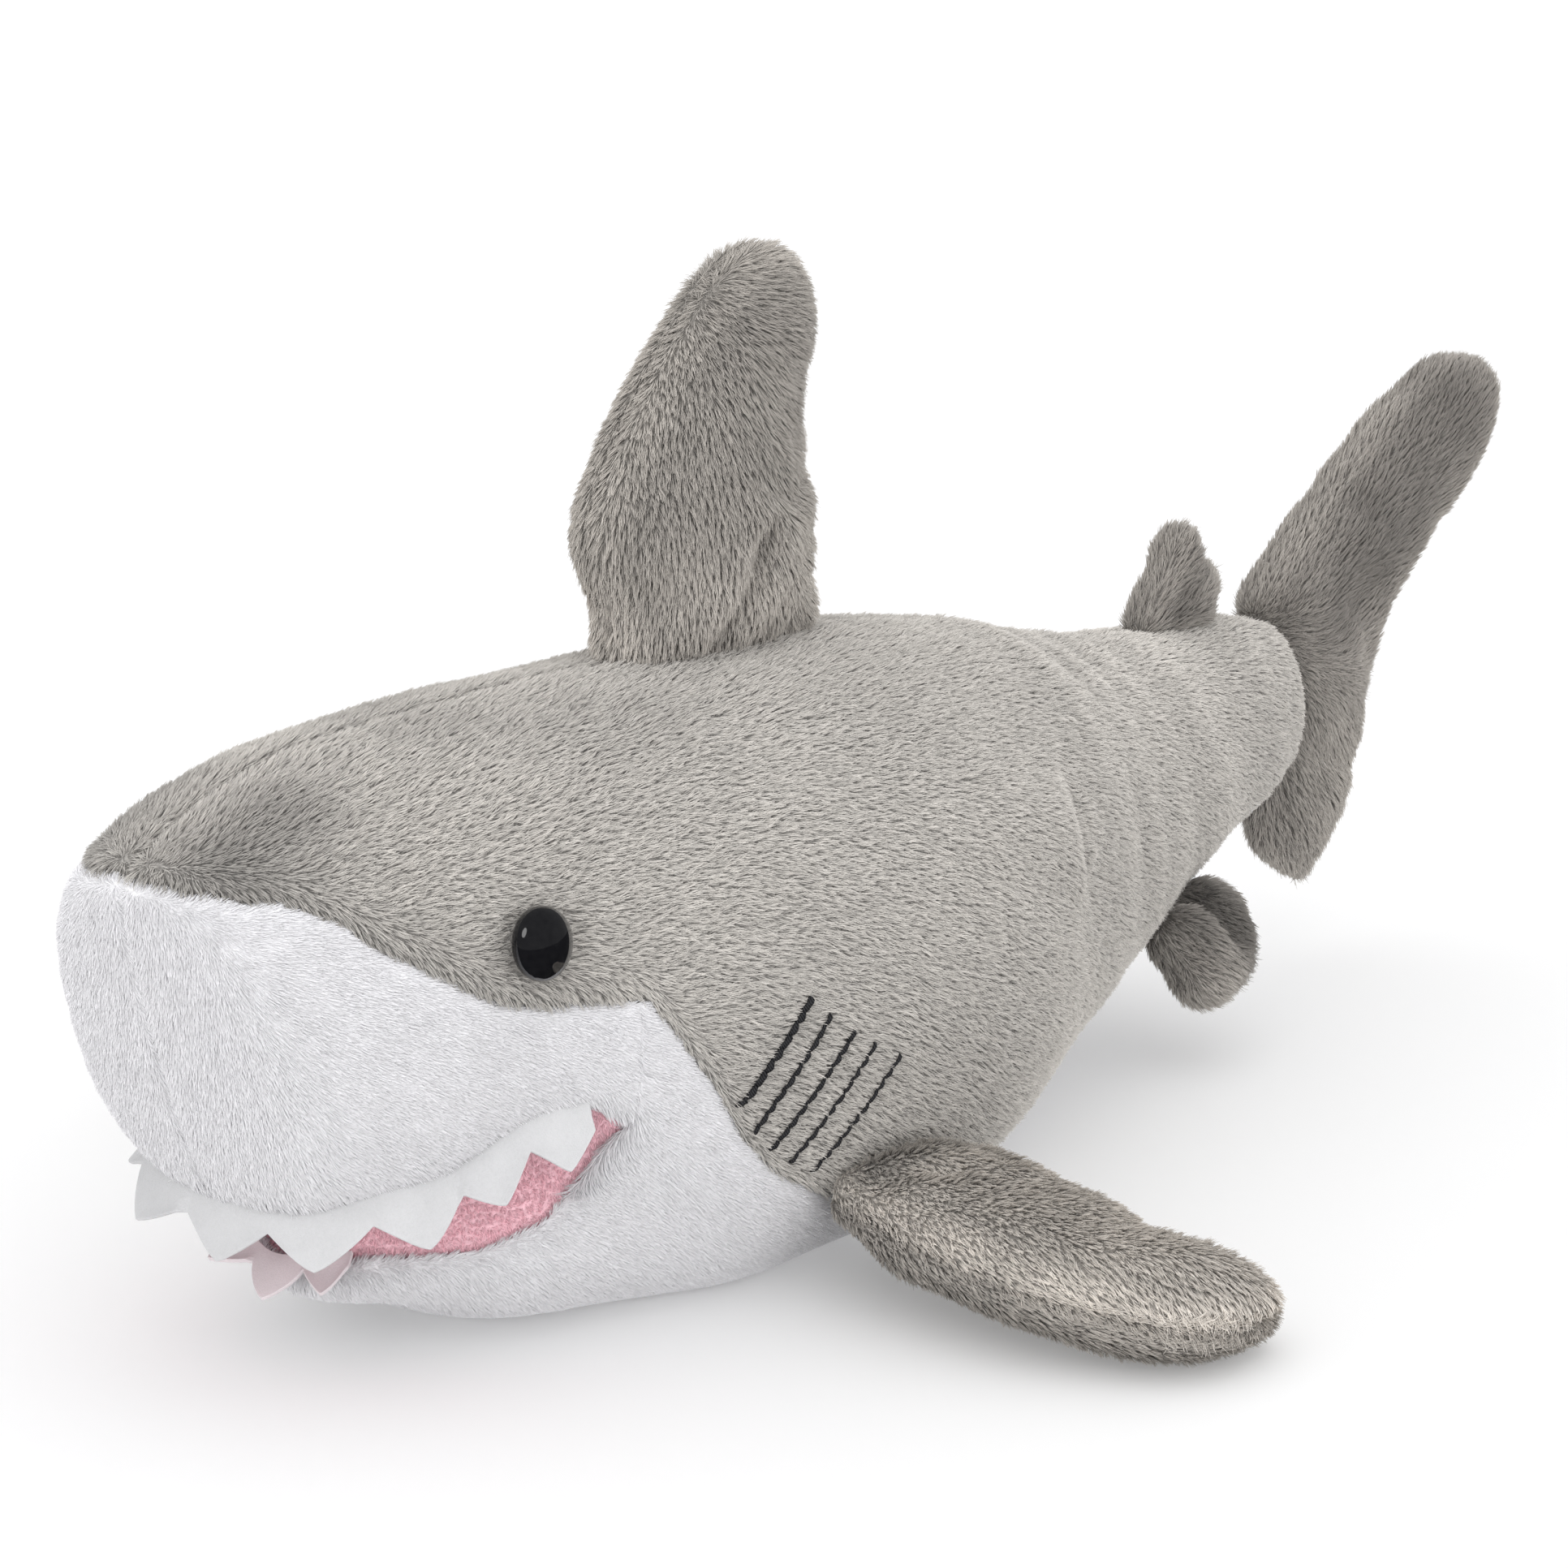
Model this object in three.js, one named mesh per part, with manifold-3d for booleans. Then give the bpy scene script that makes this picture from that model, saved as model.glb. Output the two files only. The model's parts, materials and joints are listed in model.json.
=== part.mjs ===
// A stuffed plush shark, lying on its belly. Millimetres, +Z up.
// The nose points to -Y, the tail to +Y, and the shark's own left side is +X.
// The origin is the middle of the flat patch that the belly rests on.
//
// The skin is cut from pile fabric: grey back, white snout and belly. Every panel is a closed
// shell of the fabric's thickness, and the filling is a solid that stops just short of it.
// Each fin is a small pillow of two panels and a filling, sewn on along one straight root seam.

import * as THREE from "three";
import { mergeVertices } from "three/addons/utils/BufferGeometryUtils.js";
import Module from "manifold-3d";

const wasm = await Module();
wasm.setup();

// ---------------------------------------------------------------- driving dimensions

const FABRIC = 2.4; // backing and flattened pile
const GAP = 0.3; // clearance between neighbouring pieces
const FILLING_DEPTH = FABRIC + 2 * GAP; // how far the filling lies under the outer surface
const LINING_DEPTH = FABRIC + 2 * GAP; // the mouth lining is sewn in behind the skin
const LINING = 2;

// Body sections from nose to tail: [y, top z, bottom z, half width].
const BODY = [
  [-139, 87, 84, 3],
  [-135, 90, 66, 17],
  [-127, 95.5, 38, 27],
  [-112, 101.5, 24, 34],
  [-85, 104, 25, 42],
  [-55, 105, -8, 51.5],
  [-20, 105, -12, 57.5],
  [20, 104, -10, 57],
  [60, 98.5, 1, 45],
  [100, 88.5, 16, 33],
  [140, 83.5, 32, 23],
  [172, 81.5, 40.5, 15.5],
  [183, 77, 46.5, 11],
  [189, 68, 56, 3],
];
// The lower jaw is a second, smaller loft that runs up inside the head.
const JAW = [
  [-116, 19, 9, 8],
  [-110, 26, 8, 17],
  [-100, 38, 6.5, 26],
  [-85, 52, -1, 34],
  [-65, 60, -5, 42],
  [-45, 60, -9, 50],
];
const WIDEST = 0.43; // where a section is widest, as a share of its height
const SIDE_POWER = 0.92; // below 1 is fuller than an ellipse
const TOP_POWER = 0.95;
const BOTTOM_POWER = 0.8;
const AROUND = 22;
const ALONG = 22;

// Seams in side view: [y, z].
const COLOUR_SEAM = [
  [-139, 87.5],
  [-128, 85],
  [-118, 80],
  [-112.5, 75],
  [-103.5, 69],
  [-95.5, 63.5],
  [-86, 61],
  [-71, 59],
  [-63, 49],
  [-57, 41.5],
  [-52, 32.5],
  [-44, 24.5],
  [-36, 19.5],
  [-21, 12],
  [20, 9],
  [60, 12],
  [100, 24],
  [140, 37],
  [172, 47],
];
const UPPER_RIM = [
  [-124, 31],
  [-109, 34],
  [-99, 35],
  [-88, 41],
  [-79, 42.5],
];
const LOWER_LIP = [
  [-116, 15],
  [-106, 20],
  [-93, 20],
  [-84, 23.5],
  [-78, 29],
];
const MOUTH_CORNER = [-74, 38.5];

const EYE = { y: -89, z: 73, radius: 6, dome: 4.6, shank: 1.5, shankLength: 8.5, washer: 6.5 };
const WASHER_DEPTH = 4.5; // the washer's outer face, under the skin's outer surface
const WASHER_THICKNESS = 1.4;

// Gill slits are lines of thread: [top y, top z, bottom y, bottom z].
const GILLS = [
  [-37.5, 54.5, -54.5, 38],
  [-33.5, 51, -51.5, 33],
  [-28.5, 47, -47.5, 29],
  [-24, 43.5, -43, 25.5],
  [-18, 40, -37.5, 22.5],
];
const THREAD_RADIUS = 0.6;

// Teeth are zig-zag felt strips: a band of height root with teeth of the given length below it.
// The edge they are sewn to is [x, y, z] from the middle of the snout to the left corner.
const FELT = 1.1;
const UPPER_TEETH = {
  edge: [[0, -121.5, 30.5], [13, -119.5, 31], [22.5, -115.5, 32.1], [27.8, -108, 33.6],
    [31, -100, 34.6], [34.5, -93, 37.7], [37, -87, 40.6], [40.8, -79, 41.8]],
  count: 9,
  root: 3.2,
  length: 6.8,
  droop: 70 * THREE.MathUtils.DEG2RAD,
};
const LOWER_TEETH = {
  edge: [[0, -115.2, 17.6], [7, -113.4, 18.6], [13, -110.2, 20.2]],
  count: 3,
  root: 2.5,
  length: 5,
  droop: 30 * THREE.MathUtils.DEG2RAD,
};

// A fin's outline is [along its root, away from its root], from the middle of the root seam.
// It runs on past the root, where a wedge cuts it so that the fin can swing on its seam.
const ROOT_WEDGE = 34 * THREE.MathUtils.DEG2RAD;
const DORSAL = {
  outline: [[-23, -8], [-32, 14], [-31, 28], [-23, 41], [-10, 56], [4, 67], [16, 70], [25, 64],
    [27.5, 53], [25, 42], [26, 28], [27, 12], [23, -8]],
  middle: [0, 28],
  halfThickness: 12,
};
const SECOND_DORSAL = {
  outline: [[-13, -5], [-9, 7], [-3, 18], [3, 22], [10, 17], [18, 9.5], [17, 3], [13, -5]],
  middle: [3, 6],
  halfThickness: 6.5,
};
// The tail's front edge reaches forward above and below the body's round end.
const TAIL = {
  outline: [[-20, -11], [-33, -6], [-37, 3], [-32, 12], [-22, 18], [-8, 21.5], [6, 24.5],
    [20, 29.5], [35, 40], [48, 51], [60, 59], [73, 62], [81.5, 53], [79, 36], [70, 22], [57, 8],
    [43, -5], [27, -11]],
  middle: [4, 8],
  halfThickness: 9,
  bodyEnd: [-9, 31],
};
const PECTORAL = {
  outline: [[-16, -6], [-21, 8], [-23, 22], [-20, 44], [-12, 59], [-3, 68], [8, 70], [18, 66],
    [22, 57], [19, 42], [18, 26], [18, 10], [14, -6]],
  middle: [-1, 33],
  halfThickness: 8.5,
};
const PELVIC = {
  outline: [[-8, -5], [-13, 3], [-16, 10.5], [-13, 16.5], [-5, 19.5], [7.5, 17.5], [15.5, 12],
    [19, 4.5], [12, -5]],
  middle: [1, 8],
  halfThickness: 7,
};
// Where each root seam lies, and how the fin stands on it.
const DORSAL_ROOT = { x: 0, y: -5, z: 104.9 };
const SECOND_DORSAL_ROOT = { x: 0, y: 141, z: 84.4, fall: 0.08 };
const TAIL_ROOT = { x: 0, y: 190.3, z: 52, yaw: 15 * THREE.MathUtils.DEG2RAD };
const PECTORAL_ROOT = { x: 56.5, y: -16, z: 15.5, turn: -0.07, rise: -0.12, fall: 0.1 };
const PELVIC_ROOT = { x: 24.5, y: 112, z: 28.5, turn: 0.22, rise: 0.3, fall: 0.9 };

// ---------------------------------------------------------------- solids

// A closed geometry as a solid that can be joined and cut.
function solid(geometry) {
  const bare = geometry.clone();
  bare.deleteAttribute("normal");
  bare.deleteAttribute("uv");
  const merged = mergeVertices(bare, 1e-3);
  return new wasm.Manifold(
    new wasm.Mesh({
      numProp: 3,
      vertProperties: merged.attributes.position.array,
      triVerts: new Uint32Array(merged.index.array),
    }),
  );
}

function geometryOf(body) {
  const { vertProperties, triVerts } = body.getMesh();
  const geometry = new THREE.BufferGeometry();
  geometry.setAttribute("position", new THREE.BufferAttribute(new Float32Array(vertProperties), 3));
  geometry.setIndex(new THREE.BufferAttribute(new Uint32Array(triVerts), 1));
  geometry.computeVertexNormals();
  return geometry;
}

// Moves every vertex of a geometry to place(x, y, z).
function reshape(geometry, place) {
  const position = geometry.attributes.position;
  for (let i = 0; i < position.count; i += 1) {
    const [x, y, z] = place(position.getX(i), position.getY(i), position.getZ(i));
    position.setXYZ(i, x, y, z);
  }
  return geometry;
}

// A prism whose side view, [y, z], is the given outline, from x = from to x = to.
function sidePrism(outline, from, to) {
  const shape = new THREE.Shape(outline.map(([y, z]) => new THREE.Vector2(y, z)));
  const prism = new THREE.ExtrudeGeometry(shape, { depth: to - from, bevelEnabled: false });
  return solid(reshape(prism, (y, z, x) => [x + from, y, z]));
}

function block(low, high) {
  const size = high.map((value, i) => value - low[i]);
  const box = new THREE.BoxGeometry(...size);
  return solid(box.translate(...low.map((value, i) => value + size[i] / 2)));
}

// ---------------------------------------------------------------- body shape

const FAR = 260; // further than any part of the shark reaches

function sectionsOf(rows) {
  const stations = rows.map((row) => row[0]);
  const values = rows.flatMap((row) => row.slice(1));
  const curve = new THREE.CubicInterpolant(stations, values, 3);
  return {
    first: stations[0],
    last: stations.at(-1),
    at: (y) => Array.from(curve.evaluate(y)),
  };
}

const bodySections = sectionsOf(BODY);
const jawSections = sectionsOf(JAW);

// A sphere pulled out to a row of sections, moved inwards by depth.
function loft(sections, depth) {
  const ball = new THREE.SphereGeometry(1, AROUND, ALONG);
  return reshape(ball, (bx, by, bz) => {
    const station = THREE.MathUtils.lerp(sections.first, sections.last, (1 + by) / 2);
    const y = station - depth * by;
    const [top, bottom, halfWidth] = sections.at(station);
    const widest = bottom + WIDEST * (top - bottom);
    const ring = Math.hypot(bx, bz);
    if (ring < 1e-6) return [0, y, widest];
    const [c, s] = [bx / ring, bz / ring];
    const width = Math.max(halfWidth - depth, 0.5);
    const x = width * Math.sign(c) * Math.abs(c) ** SIDE_POWER;
    if (s >= 0) return [x, y, widest + Math.max(top - depth - widest, 0.5) * s ** TOP_POWER];
    return [x, y, widest - Math.max(widest - bottom - depth, 0.5) * (-s) ** BOTTOM_POWER];
  });
}

// The whole stuffed body without fins, its outside moved inwards by depth and cut flat below.
function bodyAt(depth) {
  const underGround = block([-FAR, -FAR, -FAR], [FAR, FAR, depth]);
  return solid(loft(bodySections, depth)).add(solid(loft(jawSections, depth))).subtract(underGround);
}

// The half width of the body's outside at height z.
function halfWidthAt(y, z) {
  const [top, bottom, halfWidth] = bodySections.at(y);
  const widest = bottom + WIDEST * (top - bottom);
  const upper = z > widest;
  const share = upper ? (z - widest) / (top - widest) : (widest - z) / (widest - bottom);
  const s = share ** (1 / (upper ? TOP_POWER : BOTTOM_POWER));
  return halfWidth * Math.sqrt(1 - s * s) ** SIDE_POWER;
}

// The outward direction of the body's left side at height z.
function normalAt(y, z) {
  const step = 0.5;
  const slopeY = (halfWidthAt(y + step, z) - halfWidthAt(y - step, z)) / (2 * step);
  const slopeZ = (halfWidthAt(y, z + step) - halfWidthAt(y, z - step)) / (2 * step);
  return new THREE.Vector3(1, -slopeY, -slopeZ).normalize();
}

function onSkin(side, y, z, lift) {
  const point = new THREE.Vector3(halfWidthAt(y, z), y, z).addScaledVector(normalAt(y, z), lift);
  point.x *= side;
  return point;
}

// ---------------------------------------------------------------- regions of the skin

const noseSeam = COLOUR_SEAM[0];
const tailSeam = COLOUR_SEAM.at(-1);

function above(seam, shift) {
  const raised = seam.map(([y, z]) => [y, z + shift]);
  return [[-FAR, noseSeam[1] + shift], ...raised, [FAR, tailSeam[1] + shift], [FAR, FAR], [-FAR, FAR]];
}

const everywhere = block([-FAR, -FAR, -FAR], [FAR, FAR, FAR]);
const backZone = sidePrism(above(COLOUR_SEAM, GAP / 2), -FAR, FAR);
const lowerZone = everywhere.subtract(sidePrism(above(COLOUR_SEAM, -GAP / 2), -FAR, FAR));

// The mouth, open to the front. Growing it gives the lining its hidden margin.
function mouthZone(grow) {
  const upper = UPPER_RIM.map(([y, z]) => [y, z + grow]);
  const lower = LOWER_LIP.map(([y, z]) => [y, z - grow]).reverse();
  const corner = [MOUTH_CORNER[0] + grow, MOUTH_CORNER[1]];
  const front = [[-FAR, LOWER_LIP[0][1] - grow], [-FAR, UPPER_RIM[0][1] + grow]];
  return sidePrism([...upper, corner, ...lower, ...front], -FAR, FAR);
}

// The snout's white panels end at a cheek seam, from the mouth's corner to the colour seam.
const CHEEK_SEAM = [MOUTH_CORNER, [-73, 59.5]];
const BELLY_TOP = 20; // in front of the mouth
const SNOUT_BOTTOM = 35;
const cheekTop = CHEEK_SEAM.at(-1)[0];
const snoutZone = sidePrism(
  [[-FAR, SNOUT_BOTTOM], ...UPPER_RIM, ...CHEEK_SEAM, [cheekTop, FAR], [-FAR, FAR]],
  -FAR,
  FAR,
);
const aboveBelly = [
  [-FAR, BELLY_TOP],
  [UPPER_RIM[0][0], BELLY_TOP],
  ...UPPER_RIM.map(([y, z]) => [y, z - GAP]),
  ...CHEEK_SEAM.map(([y, z]) => [y + GAP, z - GAP]),
  [cheekTop + GAP, FAR],
  [-FAR, FAR],
];
const bellyZone = everywhere.subtract(sidePrism(aboveBelly, -FAR, FAR));

const leftHalf = block([GAP / 2, -FAR, -FAR], [FAR, FAR, FAR]);
const rightHalf = block([-FAR, -FAR, -FAR], [-GAP / 2, FAR, FAR]);

// ---------------------------------------------------------------- materials and groups

const COLOURS = {
  grey: 0x9f9a93,
  white: 0xf0f0f2,
  pink: 0xd98aa0,
  felt: 0xf6f6f6,
  black: 0x0a0a0c,
  thread: 0x1b1b1b,
  filling: 0xf4f2ea,
  washer: 0xdcdcdc,
};
const ROUGHNESS = { black: 0.08, washer: 0.5 };

function mesh(name, body, colour) {
  const material = new THREE.MeshStandardMaterial({
    color: COLOURS[colour],
    roughness: ROUGHNESS[colour] ?? 0.95,
    metalness: 0,
  });
  const made = new THREE.Mesh(geometryOf(body), material);
  made.name = name;
  return made;
}

const shark = new THREE.Group();

// ---------------------------------------------------------------- eyes

// A safety eye: a domed button on a shank that runs through the skin into a washer.
function eyeProfile() {
  const { radius, dome, shank, shankLength } = EYE;
  const arc = new THREE.EllipseCurve(0, 0.8, radius, dome - 0.8, 0, Math.PI / 2).getPoints(6);
  return [
    new THREE.Vector2(0, -shankLength),
    new THREE.Vector2(shank, -shankLength),
    new THREE.Vector2(shank, 0),
    new THREE.Vector2(radius, 0),
    ...arc.slice(0, -1),
    new THREE.Vector2(0, dome),
  ];
}

function washerProfile() {
  const hole = EYE.shank + GAP;
  const top = -WASHER_DEPTH;
  const bottom = top - WASHER_THICKNESS;
  return [
    [hole, bottom],
    [EYE.washer, bottom],
    [EYE.washer, top],
    [hole, top],
    [hole, bottom],
  ].map(([x, y]) => new THREE.Vector2(x, y));
}

// Turns a lathe's own axis, +Y, onto the eye's outward direction and moves it to the skin.
function eyePlace(side) {
  const out = normalAt(EYE.y, EYE.z);
  out.x *= side;
  const turn = new THREE.Quaternion().setFromUnitVectors(new THREE.Vector3(0, 1, 0), out);
  return new THREE.Matrix4().compose(
    onSkin(side, EYE.y, EYE.z, GAP),
    turn,
    new THREE.Vector3(1, 1, 1),
  );
}

function lathe(profile, side, segments) {
  return solid(new THREE.LatheGeometry(profile, segments).applyMatrix4(eyePlace(side)));
}

const POCKET_MARGIN = 0.6; // the filling's pocket is this much deeper than the shank

function cylinderProfile(radius, low, high) {
  return [[0, low], [radius, low], [radius, high], [0, high]].map(([x, y]) => new THREE.Vector2(x, y));
}

const SIDES = [["left", 1], ["right", -1]];
const shankHoles = SIDES.map(([, side]) =>
  lathe(cylinderProfile(EYE.shank + GAP, -EYE.shankLength, FABRIC), side, 12),
);
const washerPockets = SIDES.map(([, side]) =>
  lathe(cylinderProfile(EYE.washer + GAP, -EYE.shankLength - POCKET_MARGIN, 0), side, 16),
);

for (const [word, side] of SIDES) {
  shark.add(mesh(`eye_${word}`, lathe(eyeProfile(), side, 14), "black"));
  shark.add(mesh(`eye_washer_${word}`, lathe(washerProfile(), side, 16), "washer"));
}

// ---------------------------------------------------------------- skin, lining and filling

const skin = bodyAt(0).subtract(bodyAt(FABRIC)).subtract(mouthZone(0));
const greySkin = skin.intersect(backZone).subtract(shankHoles[0]).subtract(shankHoles[1]);
const whiteSkin = skin.intersect(lowerZone);
const snoutSkin = whiteSkin.intersect(snoutZone);

shark.add(mesh("back_panel_left", greySkin.intersect(leftHalf), "grey"));
shark.add(mesh("back_panel_right", greySkin.intersect(rightHalf), "grey"));
shark.add(mesh("snout_panel_left", snoutSkin.intersect(leftHalf), "white"));
shark.add(mesh("snout_panel_right", snoutSkin.intersect(rightHalf), "white"));
shark.add(mesh("belly_panel", whiteSkin.intersect(bellyZone), "white"));

const LINING_MARGIN = 4;
const lining = bodyAt(LINING_DEPTH)
  .subtract(bodyAt(LINING_DEPTH + LINING))
  .intersect(mouthZone(LINING_MARGIN));
shark.add(mesh("mouth_lining", lining, "pink"));

const filling = bodyAt(FILLING_DEPTH)
  .subtract(
    mouthZone(LINING_MARGIN + GAP).subtract(bodyAt(LINING_DEPTH + LINING + 2 * GAP)),
  )
  .subtract(washerPockets[0])
  .subtract(washerPockets[1]);
shark.add(mesh("body_stuffing", filling, "filling"));

// ---------------------------------------------------------------- gill stitches

function thread([topY, topZ, bottomY, bottomZ], side) {
  const points = [0, 0.25, 0.5, 0.75, 1].map((t) =>
    onSkin(
      side,
      THREE.MathUtils.lerp(topY, bottomY, t),
      THREE.MathUtils.lerp(topZ, bottomZ, t),
      THREAD_RADIUS + GAP,
    ),
  );
  const round = new THREE.Shape().absarc(0, 0, THREAD_RADIUS, 0, 2 * Math.PI);
  const path = new THREE.CatmullRomCurve3(points);
  return solid(
    new THREE.ExtrudeGeometry(round, { extrudePath: path, steps: 4, curveSegments: 3 }),
  );
}

for (const [word, side] of SIDES) {
  GILLS.forEach((line, i) => {
    shark.add(mesh(`gill_stitch_${word}_${i + 1}`, thread(line, side), "thread"));
  });
}

// ---------------------------------------------------------------- teeth

// A flat strip with a zig-zag lower edge, bent round its sewn edge and leaning out as it hangs.
function toothStrip({ edge, count, root, length, droop }) {
  const left = edge.map(([x, y, z]) => new THREE.Vector3(x, y, z));
  const right = left.slice(1).map(({ x, y, z }) => new THREE.Vector3(-x, y, z)).reverse();
  const path = new THREE.CatmullRomCurve3([...right, ...left]);
  const flat = new THREE.BoxGeometry(2 * count, 1, 1, 4 * count, 1, 1);
  const up = new THREE.Vector3(0, 0, 1);
  return solid(
    reshape(flat, (along, rise, through) => {
      const halves = along + count;
      const share = halves / (2 * count);
      const toTip = 1 - Math.abs((halves % 2) - 1);
      const drop = (0.5 - rise) * (root + length * toTip);
      const tangent = path.getTangentAt(share).setZ(0).normalize();
      const outward = new THREE.Vector3().crossVectors(tangent, up);
      const upStrip = outward.multiplyScalar(-Math.cos(droop)).setZ(Math.sin(droop));
      const normal = new THREE.Vector3().crossVectors(tangent, upStrip);
      return path.getPointAt(share).addScaledVector(upStrip, -drop)
        .addScaledVector(normal, FELT * (through + 0.5)).toArray();
    }),
  );
}

shark.add(mesh("upper_teeth_strip", toothStrip(UPPER_TEETH), "felt"));
shark.add(mesh("lower_teeth_strip", toothStrip(LOWER_TEETH), "felt"));

// ---------------------------------------------------------------- fins

const WEDGE_WIDE = 10; // this far from the root, the wedge lies outside the tail's surface
const FIN_AROUND = 20;
const FIN_ACROSS = 6;
const INSET_SLANT = 1.3; // an outline is moved towards its middle, which is often aslant to it

// A pillow over the fin's outline, in the local frame: X along the root, Z away, Y through.
function pillow({ outline, middle, halfThickness }, depth) {
  const points = outline.map(([x, z]) => new THREE.Vector2(x, z));
  const edge = new THREE.Shape().moveTo(points[0].x, points[0].y).splineThru(points.slice(1));
  edge.closePath();
  const centre = new THREE.Vector2(...middle);
  const ball = new THREE.SphereGeometry(1, FIN_AROUND, FIN_ACROSS);
  const uv = ball.attributes.uv;
  let i = -1;
  return solid(
    reshape(ball, (bx, by, bz) => {
      i += 1;
      const towards = edge.getPoint(THREE.MathUtils.euclideanModulo(uv.getX(i), 1)).sub(centre);
      const ring = Math.hypot(bx, bz) < 1e-6 ? 0 : Math.hypot(bx, bz) ** 0.85;
      const reach = towards.length() - depth * INSET_SLANT;
      towards.setLength(Math.max(reach, 0.1) * ring).add(centre);
      const rise = Math.sign(by) * Math.abs(by) ** 0.8 * (halfThickness - depth);
      return [towards.x, rise, towards.y];
    }),
  );
}

function wedge(depth) {
  const apex = GAP + depth / Math.sin(ROOT_WEDGE);
  const half = FAR * Math.tan(ROOT_WEDGE);
  return sidePrism([[0, apex], [half, apex + FAR], [-half, apex + FAR]], -FAR, FAR);
}

// The space a fin may fill: its wedge, and where the body ends short of the fin, all beyond that.
function room(spec, depth) {
  if (!spec.bodyEnd) return wedge(depth);
  const [low, high] = spec.bodyEnd;
  const below = block([-FAR, -FAR, -FAR], [low - depth, FAR, WEDGE_WIDE]);
  const above = block([high + depth, -FAR, -FAR], [FAR, FAR, WEDGE_WIDE]);
  return wedge(depth).add(below).add(above);
}

function fin(name, spec, [nearWord, farWord]) {
  const at = (depth) => pillow(spec, depth).intersect(room(spec, depth));
  const cover = at(0).subtract(at(FABRIC));
  const nearHalf = block([-FAR, GAP / 2, -FAR], [FAR, FAR, FAR]);
  const farHalf = block([-FAR, -FAR, -FAR], [FAR, -GAP / 2, FAR]);
  const group = new THREE.Group();
  group.add(mesh(`${name}_panel_${nearWord}`, cover.intersect(nearHalf), "grey"));
  group.add(mesh(`${name}_panel_${farWord}`, cover.intersect(farHalf), "grey"));
  group.add(mesh(`${name}_stuffing`, at(FILLING_DEPTH), "filling"));
  return group;
}

// Stands a fin's local frame in the part's frame, from where its root and its span point.
function stand(group, { x, y, z }, along, away) {
  const through = new THREE.Vector3().crossVectors(away, along);
  group.quaternion.setFromRotationMatrix(new THREE.Matrix4().makeBasis(along, through, away));
  group.position.set(x, y, z);
  return group;
}

function spinalFin(name, spec, root) {
  const slope = root.fall ?? 0;
  const along = new THREE.Vector3(0, 1, -slope).normalize();
  const away = new THREE.Vector3(0, slope, 1).normalize();
  return stand(fin(name, spec, ["right", "left"]), root, along, away);
}

function tailFin() {
  const away = new THREE.Vector3(Math.sin(TAIL_ROOT.yaw), Math.cos(TAIL_ROOT.yaw), 0);
  return stand(fin("tail_fin", TAIL, ["left", "right"]), TAIL_ROOT, new THREE.Vector3(0, 0, 1), away);
}

// A fin on the flank: its root runs along the body and turns with the flank's taper.
function flankFin(name, spec, root, side) {
  const along = new THREE.Vector3(-root.turn, 1, root.rise ?? 0).normalize();
  const down = new THREE.Vector3(1, root.turn, -root.fall);
  const away = down.addScaledVector(along, -down.dot(along)).normalize();
  const mirrored = new THREE.Group();
  mirrored.add(stand(fin(name, spec, ["top", "bottom"]), root, along, away));
  mirrored.scale.x = side;
  return mirrored;
}

shark.add(spinalFin("dorsal_fin", DORSAL, DORSAL_ROOT));
shark.add(spinalFin("second_dorsal_fin", SECOND_DORSAL, SECOND_DORSAL_ROOT));
shark.add(tailFin());
for (const [word, side] of SIDES) {
  shark.add(flankFin(`pectoral_${word}`, PECTORAL, PECTORAL_ROOT, side));
  shark.add(flankFin(`pelvic_${word}`, PELVIC, PELVIC_ROOT, side));
}

export default shark;
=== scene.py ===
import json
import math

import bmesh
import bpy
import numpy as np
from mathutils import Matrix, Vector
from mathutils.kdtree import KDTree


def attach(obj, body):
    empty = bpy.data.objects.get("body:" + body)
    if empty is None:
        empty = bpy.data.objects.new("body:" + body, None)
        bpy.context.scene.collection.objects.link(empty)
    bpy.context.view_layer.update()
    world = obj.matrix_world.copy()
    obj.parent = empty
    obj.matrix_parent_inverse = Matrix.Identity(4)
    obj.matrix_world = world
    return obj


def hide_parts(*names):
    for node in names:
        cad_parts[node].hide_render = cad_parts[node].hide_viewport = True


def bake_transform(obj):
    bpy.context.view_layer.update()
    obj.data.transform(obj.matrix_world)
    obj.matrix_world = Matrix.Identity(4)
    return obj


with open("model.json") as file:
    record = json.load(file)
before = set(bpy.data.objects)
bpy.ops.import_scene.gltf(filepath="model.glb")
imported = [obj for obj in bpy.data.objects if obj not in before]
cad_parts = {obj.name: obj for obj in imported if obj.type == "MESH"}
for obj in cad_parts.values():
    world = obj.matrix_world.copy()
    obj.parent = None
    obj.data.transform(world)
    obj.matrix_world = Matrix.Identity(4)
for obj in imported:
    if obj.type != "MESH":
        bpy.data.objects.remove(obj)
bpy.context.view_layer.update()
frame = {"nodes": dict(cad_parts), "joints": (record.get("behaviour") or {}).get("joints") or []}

# A stuffed plush shark: a pile fabric body sewn from panels, seven sewn fins, felt teeth,
# a pink mouth lining, button eyes and gill slits in black thread.
# Lengths are in millimetres until a mesh is made. The nose points to -Y, and +X is its left.
#
# Every sewn part starts as one closed shell, is padded by a cloth simulation, and is then cut
# into its panels along the seams. The pile is hair that grows from each panel.

MM = 0.001
SIDES = (("left", 1), ("right", -1))
JOINT_AT = {j["name"]: np.array(j["pos_m"]) / MM for j in frame["joints"]}

# ---------------------------------------------------------------- shape of the body

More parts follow.
